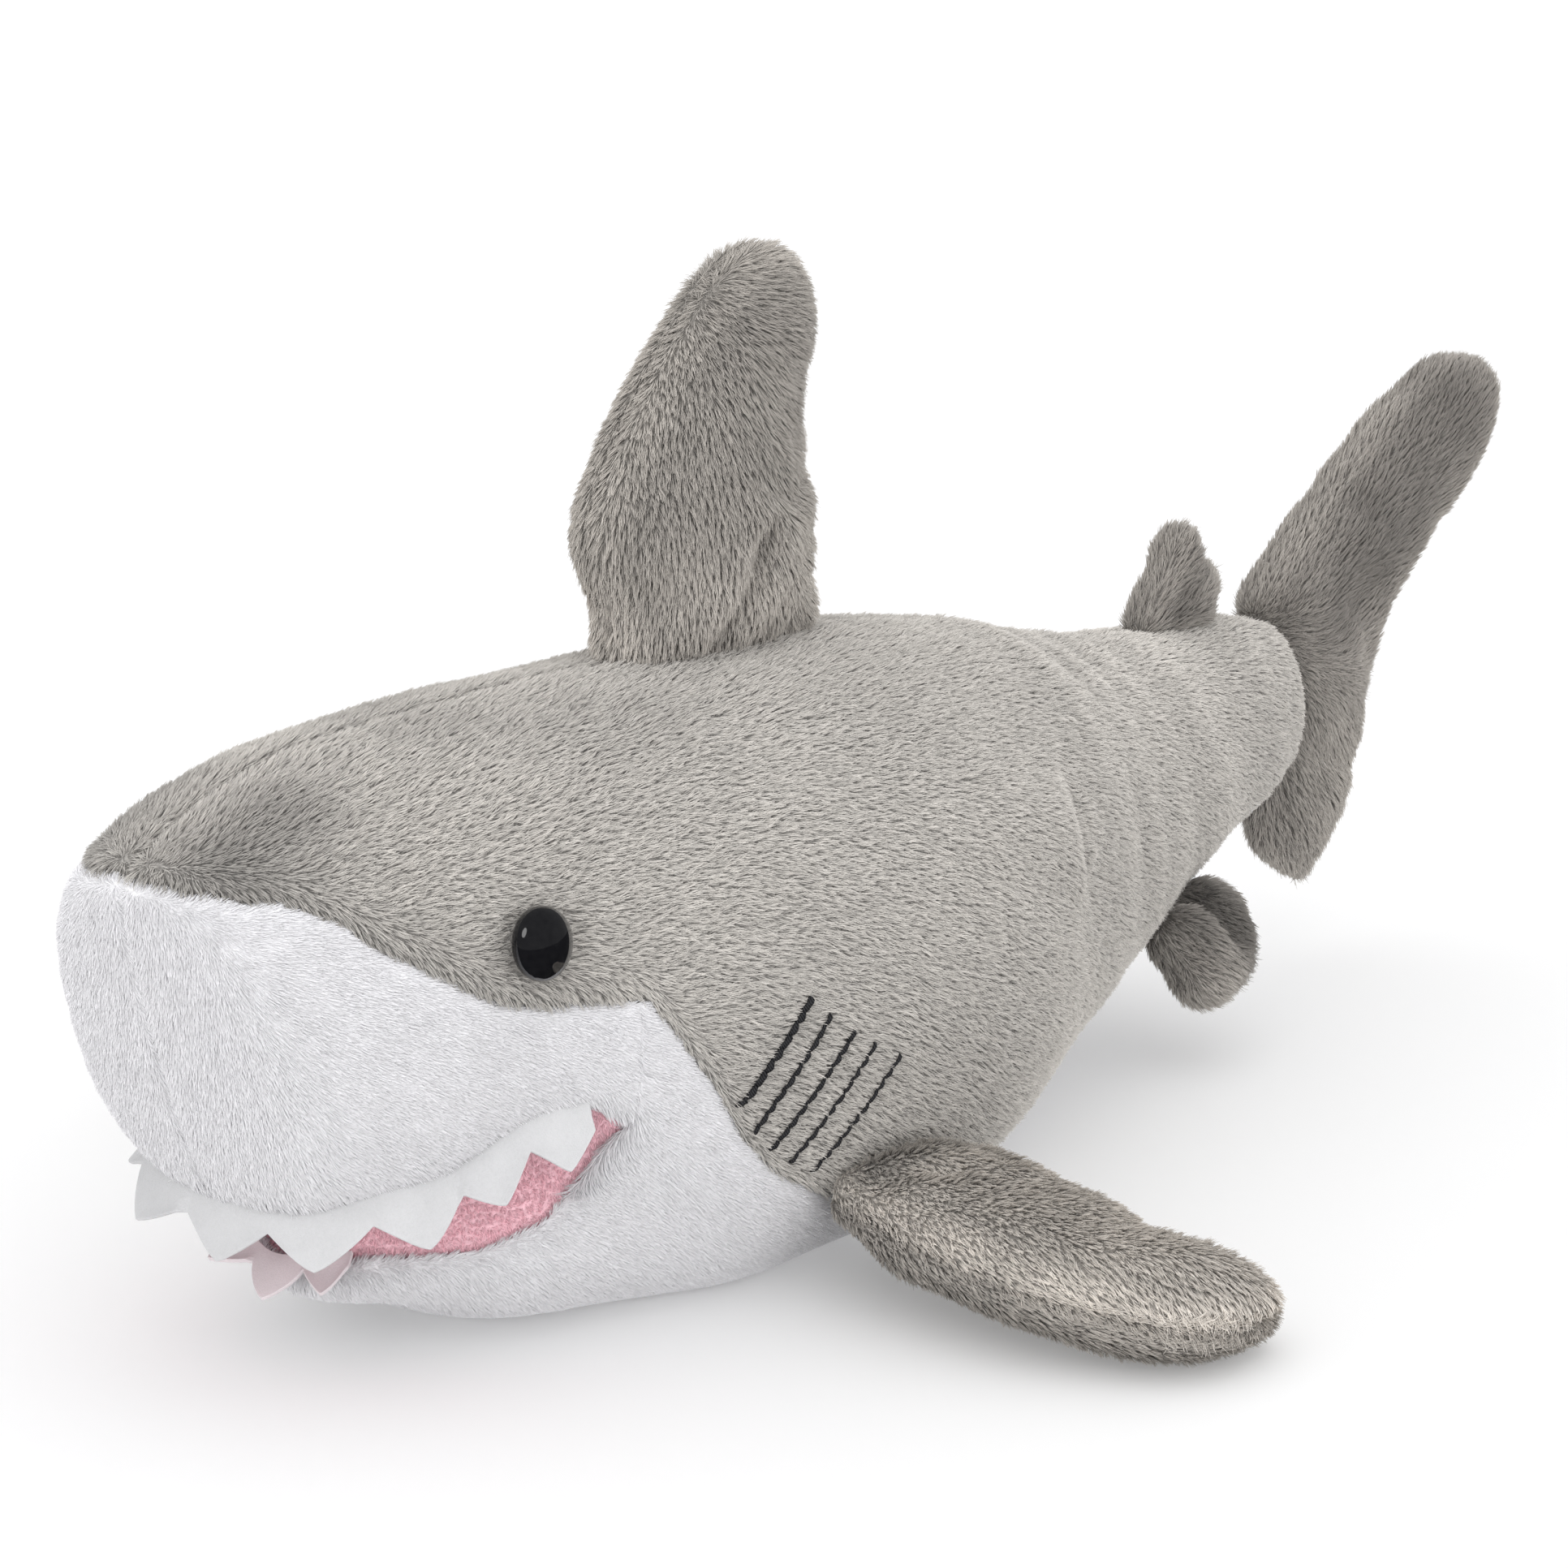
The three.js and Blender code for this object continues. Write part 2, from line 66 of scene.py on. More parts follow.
# Sections from nose to tail: y, top z, bottom z, half width.
BODY = np.array([
    (-143.5, 88, 83, 5), (-139.5, 90.5, 65.5, 19.5), (-131, 95.5, 37.5, 29), (-114, 101.5, 24, 34.5),
    (-85, 104, 25, 42), (-55, 105, -8, 51.5), (-20, 105, -12, 57.5), (20, 104, -10, 57),
    (60, 98.5, 1, 45), (100, 88.5, 16, 33), (140, 83.5, 32, 23), (172, 81.5, 40.5, 15.5),
    (183, 77, 46.5, 11), (189, 68, 56, 3),
], float)
JAW = np.array([
    (-112.5, 19, 9, 8), (-107.5, 26, 8, 16), (-99, 38, 6.5, 25.5),
    (-85, 52, -1, 34), (-65, 60, -5, 42), (-45, 60, -9, 50),
], float)
WIDEST = 0.43  # how far up a section is widest
SIDE_POWER, TOP_POWER, BOTTOM_POWER = 0.92, 0.95, 0.8  # below 1 is squarer than an ellipse
FABRIC = 1.6  # the thickness of the fabric without its pile
BACKING_DEPTH = 0.7  # how far the fabric's backing lies under the tips of its pile
GROUND = 0.5  # the backing's height above the floor where the belly rests

# Seams in side view: y, z.
COLOUR_SEAM = np.array([
    (-144, 88), (-128, 85), (-118, 80), (-112.5, 75), (-103.5, 69), (-95.5, 63.5), (-84, 61),
    (-68, 59), (-61, 49), (-56, 41), (-51.5, 32.5), (-44, 24.5), (-36.5, 19.5), (-21, 12),
    (20, 9), (60, 12), (100, 24), (140, 37), (172, 47),
], float)
UPPER_RIM = np.array([(-124, 31), (-109, 34), (-99, 35), (-87, 41), (-77, 42.5)], float)
LOWER_LIP = np.array([(-113, 13.5), (-105, 18), (-92, 18.5), (-82, 22.5), (-75.5, 29)], float)
MOUTH_CORNER = np.array([-71, 38.5], float)
CHEEK_TOP = np.array([-70, 59.5], float)
AHEAD = -260  # further forward than the nose

EYE = {"y": -89, "z": 73, "radius": 6, "dome": 4.3, "rim": 0.9}
EYE_LOOK = (0.4, 0.25, 0)  # how the buttons turn away from straight out of the skin
EYE_HOLLOW = 1.2  # how far the button is pulled into the padding

# Gill slits: top y, top z, bottom y, bottom z, thread radius.
GILLS = [
    (-37.5, 54.5, -54.5, 38, 0.6), (-33.5, 51, -51.5, 33, 0.42), (-28.5, 47, -47.5, 29, 0.42),
    (-24, 43.5, -43, 25.5, 0.35), (-18, 40, -37.5, 22.5, 0.33),
]

# ---------------------------------------------------------------- numbers over curves


def unit(vectors):
    """The same directions, each one long."""
    vectors = np.asarray(vectors, float)
    return vectors / np.linalg.norm(vectors, axis=-1, keepdims=True)


def through(stations, values, at):
    """A smooth curve through values at the stations, read at the given places."""
    at = np.clip(at, stations[0], stations[-1])
    slope = np.gradient(values, stations, axis=0)
    right = np.clip(np.searchsorted(stations, at), 1, len(stations) - 1)
    left = right - 1
    span = stations[right] - stations[left]
    t = ((at - stations[left]) / span).reshape((-1,) + (1,) * (values.ndim - 1))
    span = span.reshape(t.shape)
    start = values[left] * (1 + 2 * t) * (1 - t) ** 2 + slope[left] * span * t * (1 - t) ** 2
    end = values[right] * t * t * (3 - 2 * t) + slope[right] * span * t * t * (t - 1)
    return start + end


def smoothstep(low, high, value):
    t = np.clip((value - low) / (high - low), 0, 1)
    return t * t * (3 - 2 * t)


def to_polyline(points, line, closed=False):
    """Each point's distance to a polyline."""
    ends = np.roll(line, -1, axis=0) if closed else line[1:]
    starts = line if closed else line[:-1]
    best = np.full(len(points), np.inf)
    for start, end in zip(starts, ends):
        along = end - start
        share = np.clip((points - start) @ along / max(along @ along, 1e-9), 0, 1)
        gap = np.linalg.norm(points - start - share[:, None] * along, axis=1)
        best = np.minimum(best, gap)
    return best


def inside_outline(points, outline):
    """True for each 2-D point inside a closed outline."""
    inside = np.zeros(len(points), bool)
    for (x0, y0), (x1, y1) in zip(outline, np.roll(outline, -1, axis=0)):
        crosses = (y0 > points[:, 1]) != (y1 > points[:, 1])
        rise = (y1 - y0) if y1 != y0 else 1e-9
        inside ^= crosses & (points[:, 0] < x0 + (points[:, 1] - y0) * (x1 - x0) / rise)
    return inside


def ripple(points, size, seed):
    """Smooth seeded noise in about -1 to 1: a sum of sine waves in random directions."""
    draw = np.random.default_rng(seed)
    total = np.zeros(len(points))
    for _ in range(14):
        direction = draw.normal(size=points.shape[1])
        direction *= draw.uniform(0.6, 1.6) / np.linalg.norm(direction)
        total += np.sin(points @ direction * 2 * math.pi / size + draw.uniform(0, 2 * math.pi))
    return total / 5


# ---------------------------------------------------------------- meshes


def mesh_object(name, points, faces):
    mesh = bpy.data.meshes.new(name)
    mesh.from_pydata((np.asarray(points) * MM).tolist(), [], faces)
    piece = bpy.data.objects.new(name, mesh)
    bpy.context.scene.collection.objects.link(piece)
    return piece


def smooth_faces(piece):
    for face in piece.data.polygons:
        face.use_smooth = True


def nearest_on(piece, point):
    """The point of a piece's surface nearest to the given point."""
    _, place, _, _ = piece.closest_point_on_mesh(Vector(point * MM))
    return np.array(place) / MM


def tree_of(points):
    """The points, ready for finding the nearest."""
    tree = KDTree(len(points))
    for i, point in enumerate(points):
        tree.insert(point, i)
    tree.balance()
    return tree


def points_of(piece):
    flat = np.empty(len(piece.data.vertices) * 3)
    piece.data.vertices.foreach_get("co", flat)
    return flat.reshape(-1, 3) / MM


def move_points(piece, points):
    piece.data.vertices.foreach_set("co", (points * MM).ravel())
    piece.data.update()


def normals_of(piece):
    flat = np.empty(len(piece.data.vertices) * 3)
    piece.data.vertex_normals.foreach_get("vector", flat)
    return flat.reshape(-1, 3)


def edges_of(piece):
    flat = np.empty(len(piece.data.edges) * 2, int)
    piece.data.edges.foreach_get("vertices", flat)
    return flat.reshape(-1, 2)


def apply_modifiers(piece):
    graph = bpy.context.evaluated_depsgraph_get()
    made = bpy.data.meshes.new_from_object(piece.evaluated_get(graph), depsgraph=graph)
    piece.modifiers.clear()
    piece.data = made


def tube_grid(rows, columns):
    """Faces of a closed tube of rings, capped at both ends."""
    faces = []
    for row in range(rows - 1):
        for column in range(columns):
            after = (column + 1) % columns
            low, high = row * columns, (row + 1) * columns
            faces.append((low + column, low + after, high + after, high + column))
    faces.append(tuple(range(columns - 1, -1, -1)))
    faces.append(tuple((rows - 1) * columns + column for column in range(columns)))
    return faces


def relax(piece, rounds):
    """Evens out a mesh."""
    edges, points = edges_of(piece), points_of(piece)
    count = np.bincount(edges.ravel(), minlength=len(points))[:, None]
    for _ in range(rounds):
        total = np.zeros_like(points)
        for axis in range(3):
            total[:, axis] += np.bincount(edges[:, 0], points[edges[:, 1], axis], len(points))
            total[:, axis] += np.bincount(edges[:, 1], points[edges[:, 0], axis], len(points))
        points = points + 0.5 * (total / np.maximum(count, 1) - points)
    move_points(piece, points)


def remesh(piece, voxel):
    voxels = piece.modifiers.new("voxels", "REMESH")
    voxels.mode = "VOXEL"
    voxels.voxel_size = voxel * MM
    apply_modifiers(piece)


def subdivide(piece):
    smooth = piece.modifiers.new("smooth", "SUBSURF")
    smooth.levels = smooth.render_levels = 1
    apply_modifiers(piece)


BACKING_CLOTH = {
    "quality": 6, "mass": 0.2, "tension_stiffness": 20, "compression_stiffness": 20,
    "shear_stiffness": 8, "bending_stiffness": 0.3, "use_pressure": True,
}
PADDING_STEPS = 20


def pad_out(piece, pressure, cap, seam_weight, seam_shrink):
    """Fills a sewn shell by pressure, with seams that draw in, and caps how far it may move."""
    before = points_of(piece)
    group = piece.vertex_groups.new(name="seam")
    for i in np.flatnonzero(seam_weight > 0.02):
        group.add([int(i)], float(seam_weight[i]), "REPLACE")
    settings = piece.modifiers.new("padding", "CLOTH").settings
    for name, value in BACKING_CLOTH.items():
        setattr(settings, name, value)
    settings.effector_weights.gravity = 0
    settings.uniform_pressure_force = pressure
    settings.vertex_group_shrink = "seam"
    settings.shrink_max = seam_shrink
    for step in range(1, PADDING_STEPS + 1):
        bpy.context.scene.frame_set(step)
    apply_modifiers(piece)
    bpy.context.scene.frame_set(1)
    piece.vertex_groups.clear()
    moved = points_of(piece) - before
    length = np.linalg.norm(moved, axis=1, keepdims=True)
    move_points(piece, before + moved * np.minimum(1, cap / np.maximum(length, 1e-6)))


# ---------------------------------------------------------------- cutting along seams

SNAP = 0.2  # a point nearer than this to a seam counts as on it


def cut_along(mesh, seam_value):
    """Gives the mesh an edge wherever seam_value, a function of points, passes zero."""
    mesh.verts.ensure_lookup_table()
    points = np.array([v.co for v in mesh.verts]) / MM
    value = dict(zip(mesh.verts, seam_value(points)))
    on_seam = {v for v in mesh.verts if abs(value[v]) < SNAP}
    for edge in list(mesh.edges):
        a, b = edge.verts
        if a in on_seam or b in on_seam or value[a] * value[b] > 0:
            continue
        share = value[a] / (value[a] - value[b])
        _, new = bmesh.utils.edge_split(edge, a, share)
        on_seam.add(new)
    for face in list(mesh.faces):
        meeting = [v for v in face.verts if v in on_seam]
        if len(meeting) == 2 and not mesh.edges.get(meeting):
            bmesh.utils.face_split(face, *meeting)


def panels_of(shell, seams, region_of):
    """Cuts a shell along its seams and returns {region: (points, faces)}."""
    mesh = bmesh.new()
    mesh.from_mesh(shell.data)
    for seam_value in seams:
        cut_along(mesh, seam_value)
    mesh.verts.index_update()
    points = np.array([v.co for v in mesh.verts]) / MM
    faces = [[v.index for v in face.verts] for face in mesh.faces]
    sizes = np.array([len(face) for face in faces])
    starts = np.concatenate([[0], np.cumsum(sizes)[:-1]])
    centres = np.add.reduceat(points[np.concatenate(faces)], starts) / sizes[:, None]
    regions = region_of(centres)
    mesh.free()
    panels = {}
    for region in sorted(set(regions) - {""}):
        chosen = [face for face, name in zip(faces, regions) if name == region]
        used = sorted({i for face in chosen for i in face})
        renumbered = {old: new for new, old in enumerate(used)}
        panels[region] = (points[used], [[renumbered[i] for i in face] for face in chosen])
    return panels


def border_distance(piece, reach):
    """Each point's distance to the panel's cut edge, up to reach."""
    points = points_of(piece)
    flat = np.empty(len(piece.data.loops), int)
    piece.data.loops.foreach_get("edge_index", flat)
    uses = np.bincount(flat, minlength=len(piece.data.edges))
    border = tree_of(points[np.unique(edges_of(piece)[uses == 1])])
    return np.array([min(border.find(point)[2], reach) for point in points])


def turn_in_edges(piece, depth, reach):
    """Rolls a panel's cut edge inwards, so that two panels meet in a sewn groove."""
    away = border_distance(piece, reach)
    sink = np.asarray(depth) * (1 - away / reach) ** 2
    move_points(piece, points_of(piece) - normals_of(piece) * sink[:, None])


def store(piece, name, values):
    """Keeps a number or a direction at each point, for the pile and the materials."""
    values = np.asarray(values, float)
    kind, field = ("FLOAT", "value") if values.ndim == 1 else ("FLOAT_VECTOR", "vector")
    attribute = piece.data.attributes.new(name, kind, "POINT")
    attribute.data.foreach_set(field, values.ravel())


def back_with_fabric(piece):
    """Gives a panel its thickness, inwards, and marks the inner side for the pile to skip."""
    piece.vertex_groups.new(name="inner_side")
    fabric = piece.modifiers.new("fabric", "SOLIDIFY")
    fabric.thickness = FABRIC * MM
    fabric.offset = -1
    fabric.use_even_offset = False
    fabric.shell_vertex_group = "inner_side"
    smooth_faces(piece)


# ---------------------------------------------------------------- node trees


def put(tree, kind, inputs=None, **settings):
    """Adds a node with its settings. Inputs are values or the outputs of other nodes."""
    node = tree.nodes.new(kind)
    for key, value in settings.items():
        setattr(node, key, value)
    for key, value in (inputs or {}).items():
        if isinstance(value, bpy.types.NodeSocket):
            tree.links.new(value, node.inputs[key])
        else:
            node.inputs[key].default_value = value
    return node


def maths(tree, operation, a, b=0.0):
    return put(tree, "ShaderNodeMath", {0: a, 1: b}, operation=operation).outputs[0]


def times_plus(tree, a, factor, plus):
    return put(tree, "ShaderNodeMath", {0: a, 1: factor, 2: plus},
               operation="MULTIPLY_ADD").outputs[0]


def vectors(tree, operation, a, b=(0, 0, 0)):
    return put(tree, "ShaderNodeVectorMath", {0: a, 1: b}, operation=operation).outputs[0]


def scaled(tree, vector, factor):
    node = put(tree, "ShaderNodeVectorMath", {"Vector": vector, "Scale": factor}, operation="SCALE")
    return node.outputs["Vector"]


def dot(tree, a, b):
    node = put(tree, "ShaderNodeVectorMath", {0: a, 1: b}, operation="DOT_PRODUCT")
    return node.outputs["Value"]


def noise(tree, place, scale, detail, output="Fac", **more):
    """Soft noise at the given place: a number, or a direction from the output "Color"."""
    inputs = {"Vector": place, "Scale": float(scale), "Detail": float(detail), **more}
    return put(tree, "ShaderNodeTexNoise", inputs).outputs[output]


def flattened(tree, vector, normal):
    """The part of a direction that lies along the surface."""
    return vectors(tree, "SUBTRACT", vector, scaled(tree, normal, dot(tree, vector, normal)))


def named(tree, name, kind):
    node = put(tree, "GeometryNodeInputNamedAttribute", {"Name": name}, data_type=kind)
    return node.outputs["Attribute"]


def keep_value(tree, geometry, name, kind, value):
    node = put(tree, "GeometryNodeStoreNamedAttribute",
               {"Geometry": geometry, "Name": name, "Value": value},
               data_type=kind, domain="POINT")
    return node.outputs[0]


# ---------------------------------------------------------------- pile

# Each pile: strands per square mm, length, half width at the root, wisp size, how strongly
# strands gather into wisps, how much they stray, how steeply they stand, and how much the way
# they lie wanders from place to place.
GREY_PILE = {"density": 11, "length": 2.3, "width": 0.058, "wisp": 1.1, "gather": 0.85,
             "stray": 0.3, "stand": 0.52, "wander": 1.0}
FIN_PILE = {"density": 10, "length": 2.8, "width": 0.062, "wisp": 1.2, "gather": 0.9,
            "stray": 0.22, "stand": 0.52, "wander": 0.5}
WHITE_PILE = {"density": 14, "length": 1.3, "width": 0.055, "wisp": 0.8, "gather": 0.25,
              "stray": 0.12, "stand": 0.45, "wander": 0.3}
PINK_PILE = {"density": 10, "length": 0.8, "width": 0.06, "wisp": 1.1, "gather": 0.7,
             "stray": 0.5, "stand": 0.9, "wander": 1.0}


def grow_pile(panel, pile, material, seed):
    """Hair on one panel: combed strands, gathered into small wisps."""
    tree = bpy.data.node_groups.new("pile_" + panel.name, "GeometryNodeTree")
    tree.interface.new_socket("Geometry", in_out="OUTPUT", socket_type="NodeSocketGeometry")
    cloth = put(tree, "GeometryNodeObjectInfo", {"Object": panel}, transform_space="RELATIVE")
    outer = maths(tree, "LESS_THAN", named(tree, "inner_side", "FLOAT"), 0.02)
    length = named(tree, "pile", "FLOAT")
    grows = maths(tree, "GREATER_THAN", length, 0.05)
    roots = put(tree, "GeometryNodeDistributePointsOnFaces",
                {"Mesh": cloth.outputs["Geometry"], "Selection": outer, "Seed": seed,
                 "Density": maths(tree, "MULTIPLY", grows, pile["density"] / MM ** 2)})
    place = put(tree, "GeometryNodeInputPosition").outputs[0]
    points = keep_value(tree, roots.outputs["Points"], "root", "FLOAT_VECTOR", place)
    points = keep_value(tree, points, "up", "FLOAT_VECTOR", roots.outputs["Normal"])
    chance = put(tree, "FunctionNodeRandomValue", {"Seed": seed + 1}, data_type="FLOAT")
    points = keep_value(tree, points, "chance", "FLOAT", chance.outputs[1])

    line = put(tree, "GeometryNodeCurvePrimitiveLine", {"End": (0, 0, MM)})
    strand = put(tree, "GeometryNodeResampleCurve", {"Curve": line.outputs[0], "Count": 4})
    strands = put(tree, "GeometryNodeInstanceOnPoints",
                  {"Points": points, "Instance": strand.outputs[0]})
    strands = put(tree, "GeometryNodeRealizeInstances", {0: strands.outputs[0]}).outputs[0]

    root, up = named(tree, "root", "FLOAT_VECTOR"), named(tree, "up", "FLOAT_VECTOR")
    luck = named(tree, "chance", "FLOAT")
    t = put(tree, "GeometryNodeSplineParameter").outputs["Factor"]
    long = maths(tree, "MULTIPLY", named(tree, "pile", "FLOAT"), pile["length"] * MM)
    long = maths(tree, "MULTIPLY", long, times_plus(tree, luck, 0.5, 0.5))
    wander = vectors(tree, "SUBTRACT", noise(tree, root, 0.2 / MM, 1, "Color"), (0.5, 0.5, 0.5))
    frizz = vectors(tree, "SUBTRACT", noise(tree, root, 3 / MM, 0, "Color"), (0.5, 0.5, 0.5))
    comb = named(tree, "comb", "FLOAT_VECTOR")
    comb = vectors(tree, "ADD", comb, scaled(tree, wander, pile["wander"]))
    comb = vectors(tree, "ADD", comb, scaled(tree, frizz, pile["stray"] * 4))
    comb = vectors(tree, "NORMALIZE", flattened(tree, comb, up))

    wisp = put(tree, "ShaderNodeTexVoronoi", {"Vector": root, "Scale": 1 / (pile["wisp"] * MM)})
    centre = flattened(tree, vectors(tree, "SUBTRACT", wisp.outputs["Position"], root), up)
    centre = scaled(tree, centre, maths(tree, "MULTIPLY", pile["gather"], t))
    stand = maths(tree, "ADD", noise(tree, root, 0.5 / MM, 2), pile["stand"] - 0.5)
    rise = maths(tree, "MULTIPLY", long, stand)
    rise = maths(tree, "MULTIPLY", rise, maths(tree, "POWER", t, 0.8))
    lie = maths(tree, "MULTIPLY", long, maths(tree, "POWER", t, 1.25))
    end = vectors(tree, "ADD", scaled(tree, up, rise), scaled(tree, comb, lie))
    end = vectors(tree, "ADD", vectors(tree, "ADD", root, end), centre)
    hair = put(tree, "GeometryNodeSetPosition", {"Geometry": strands, "Position": end})
    taper = maths(tree, "SUBTRACT", 1.0, maths(tree, "MULTIPLY", maths(tree, "POWER", t, 2), 0.7))
    radius = maths(tree, "MULTIPLY", taper, pile["width"] * MM)
    hair = put(tree, "GeometryNodeSetCurveRadius", {"Curve": hair.outputs[0], "Radius": radius})
    hair = keep_value(tree, hair.outputs[0], "wisp_tone", "FLOAT", wisp.outputs["Color"])
    hair = put(tree, "GeometryNodeSetMaterial", {"Geometry": hair, "Material": material})
    put(tree, "NodeGroupOutput", {0: hair.outputs[0]})

    curves = bpy.data.hair_curves.new("pile_" + panel.name)
    pelt = bpy.data.objects.new("pile_" + panel.name, curves)
    bpy.context.scene.collection.objects.link(pelt)
    pelt.parent = panel
    pelt.modifiers.new("pile", "NODES").node_group = tree


# ---------------------------------------------------------------- materials


def new_material(name):
    material = bpy.data.materials.new(name)
    material.use_nodes = True
    tree = material.node_tree
    return material, tree, tree.nodes["Principled BSDF"]


def object_place(tree):
    return put(tree, "ShaderNodeTexCoord").outputs["Object"]


def relief(tree, shader, height, strength, depth):
    bump = put(tree, "ShaderNodeBump", {"Height": height, "Strength": strength, "Distance": depth})
    tree.links.new(bump.outputs[0], shader.inputs["Normal"])


def greys(low, high):
    """Two stops of a ramp, each (position, brightness)."""
    return [(position, (value, value, value)) for position, value in (low, high)]


def ramp(tree, factor, stops):
    """A colour that follows factor through the stops, each (position, colour)."""
    node = put(tree, "ShaderNodeValToRGB", {0: factor})
    elements = node.color_ramp.elements
    while len(elements) < len(stops):
        elements.new(0.5)
    for element, (position, colour) in zip(elements, stops):
        element.position = position
        element.color = (*colour, 1)
    return node.outputs[0]


def shade(colour, factor):
    return tuple(channel * factor for channel in colour)


def mixed(tree, factor, a, b, mode="MIX"):
    node = put(tree, "ShaderNodeMix", data_type="RGBA", blend_type=mode)
    for index, value in ((0, factor), (6, a), (7, b)):
        if isinstance(value, bpy.types.NodeSocket):
            tree.links.new(value, node.inputs[index])
        else:
            node.inputs[index].default_value = value if index == 0 else (*value, 1)
    return node.outputs[2]


def pile_material(name, colour, dark, light, variety):
    """Strands: darker at the root as painted shade and paler at the tip as painted light, with a
    tone of their own, one of their wisp and the panel's tone.
    """
    material, tree, shader = new_material(name)
    strand = put(tree, "ShaderNodeHairInfo")
    # Painted shade at the root, the colour times dark, and painted light at the tip, the colour
    # times light.
    along = ramp(tree, strand.outputs["Intercept"],
                 [(0.0, shade(colour, dark)), (0.5, colour), (1.0, shade(colour, light))])
    tone = put(tree, "ShaderNodeAttribute", attribute_name="wisp_tone")
    # The panel's tone, which carries its painted light and shade.
    panel_tone_light_and_shade = put(tree, "ShaderNodeAttribute", attribute_name="tone")
    factor = times_plus(tree, strand.outputs["Random"], 0.24, 0.88)
    wisp = times_plus(tree, tone.outputs["Fac"], variety, 1 - variety / 2)
    factor = maths(tree, "MULTIPLY", maths(tree, "MULTIPLY", factor, wisp), panel_tone_light_and_shade.outputs["Fac"])
    grey = put(tree, "ShaderNodeCombineColor", {0: factor, 1: factor, 2: factor}).outputs[0]
    tree.links.new(mixed(tree, 1.0, along, grey, "MULTIPLY"), shader.inputs["Base Color"])
    shader.inputs["Roughness"].default_value = 0.75
    shader.inputs["Specular IOR Level"].default_value = 0.25
    shader.inputs["Sheen Weight"].default_value = 0.15
    return material


def backing_material(name, colour, grain, light_and_shade_contrast):
    """The panel under the pile: the same colours as short combed wisps, darker in the hollows
    between them as painted shade and paler on their tops as painted light, with relief.
    """
    material, tree, shader = new_material(name)
    place = object_place(tree)
    comb = vectors(tree, "MULTIPLY", place, (1 / MM, 0.35 / MM, 0.8 / MM))
    wisps = noise(tree, comb, 1 / grain, 3, Roughness=0.6)
    # Painted shade in the hollows between the wisps and painted light on their tops.
    tufts_light_and_shade = ramp(tree, wisps, [(0.25, shade(colour, 1 - light_and_shade_contrast)), (0.5, colour),
                              (0.75, shade(colour, 1 + light_and_shade_contrast * 0.4))])
    brushed = ramp(tree, noise(tree, place, 0.045 / MM, 2), greys((0.35, 0.9), (0.6, 1)))
    panel_tone_light_and_shade = put(tree, "ShaderNodeAttribute", attribute_name="tone")
    tinted = mixed(tree, 1.0, tufts_light_and_shade, brushed, "MULTIPLY")
    tinted = mixed(tree, 1.0, tinted, panel_tone_light_and_shade.outputs["Color"], "MULTIPLY")
    tree.links.new(tinted, shader.inputs["Base Color"])
    relief(tree, shader, wisps, 0.7, 0.6 * MM)
    tree.links.new(ramp(tree, wisps, greys((0.3, 0.95), (0.7, 0.8))), shader.inputs["Roughness"])
    shader.inputs["Sheen Weight"].default_value = 0.25
    shader.inputs["Sheen Roughness"].default_value = 0.5
    return material


def felt_material(name, felt):
    """Pressed felt: matt, slightly mottled, with fine crossing fibres."""
    material, tree, shader = new_material(name)
    place = object_place(tree)
    fibres = noise(tree, place, 2.5 / MM, 4, Distortion=1.5)
    mottle = noise(tree, place, 0.2 / MM, 2)
    colour = ramp(tree, mottle, [(0.3, shade(felt, 0.94)), (0.7, felt)])
    fuzz = ramp(tree, fibres, greys((0.3, 0.93), (0.6, 1)))
    tree.links.new(mixed(tree, 1.0, colour, fuzz, "MULTIPLY"), shader.inputs["Base Color"])
    relief(tree, shader, fibres, 0.5, 0.2 * MM)
    shader.inputs["Roughness"].default_value = 0.92
    shader.inputs["Sheen Weight"].default_value = 0.2
    return material


def eye_material():
    """Glossy black plastic with a trace of fine scuffing."""
    material, tree, shader = new_material("eye_plastic")
    place = object_place(tree)
    scuffs = noise(tree, place, 0.8 / MM, 3)
    tree.links.new(ramp(tree, scuffs, greys((0.4, 0.04), (0.8, 0.1))), shader.inputs["Roughness"])
    colour = ramp(tree, scuffs, [(0.3, (0.003, 0.003, 0.004)), (0.8, (0.007, 0.007, 0.008))])
    tree.links.new(colour, shader.inputs["Base Color"])
    shader.inputs["Coat Weight"].default_value = 0.5
    shader.inputs["Coat Roughness"].default_value = 0.02
    return material


def washer_material():
    """Milky plastic of the lock washer behind the eye, with a moulded grain."""
    material, tree, shader = new_material("washer_plastic")
    place = object_place(tree)
    grain = noise(tree, place, 1.2 / MM, 3)
    colour = ramp(tree, grain, [(0.3, (0.68, 0.68, 0.66)), (0.7, (0.78, 0.78, 0.76))])
    tree.links.new(colour, shader.inputs["Base Color"])
    relief(tree, shader, grain, 0.3, 0.1 * MM)
    shader.inputs["Roughness"].default_value = 0.45
    return material


def thread_material():
    """Black embroidery thread: twisted strands with a slight lustre."""
    material, tree, shader = new_material("thread")
    place = object_place(tree)
    twist = put(tree, "ShaderNodeTexWave",
                {"Vector": place, "Scale": 0.9 / MM, "Distortion": 1.0, "Detail": 1.0},
                bands_direction="DIAGONAL").outputs["Fac"]
    colour = ramp(tree, twist, [(0.2, (0.006, 0.006, 0.007)), (0.8, (0.028, 0.028, 0.032))])
    tree.links.new(colour, shader.inputs["Base Color"])
    relief(tree, shader, twist, 0.6, 0.15 * MM)
    shader.inputs["Roughness"].default_value = 0.5
    return material


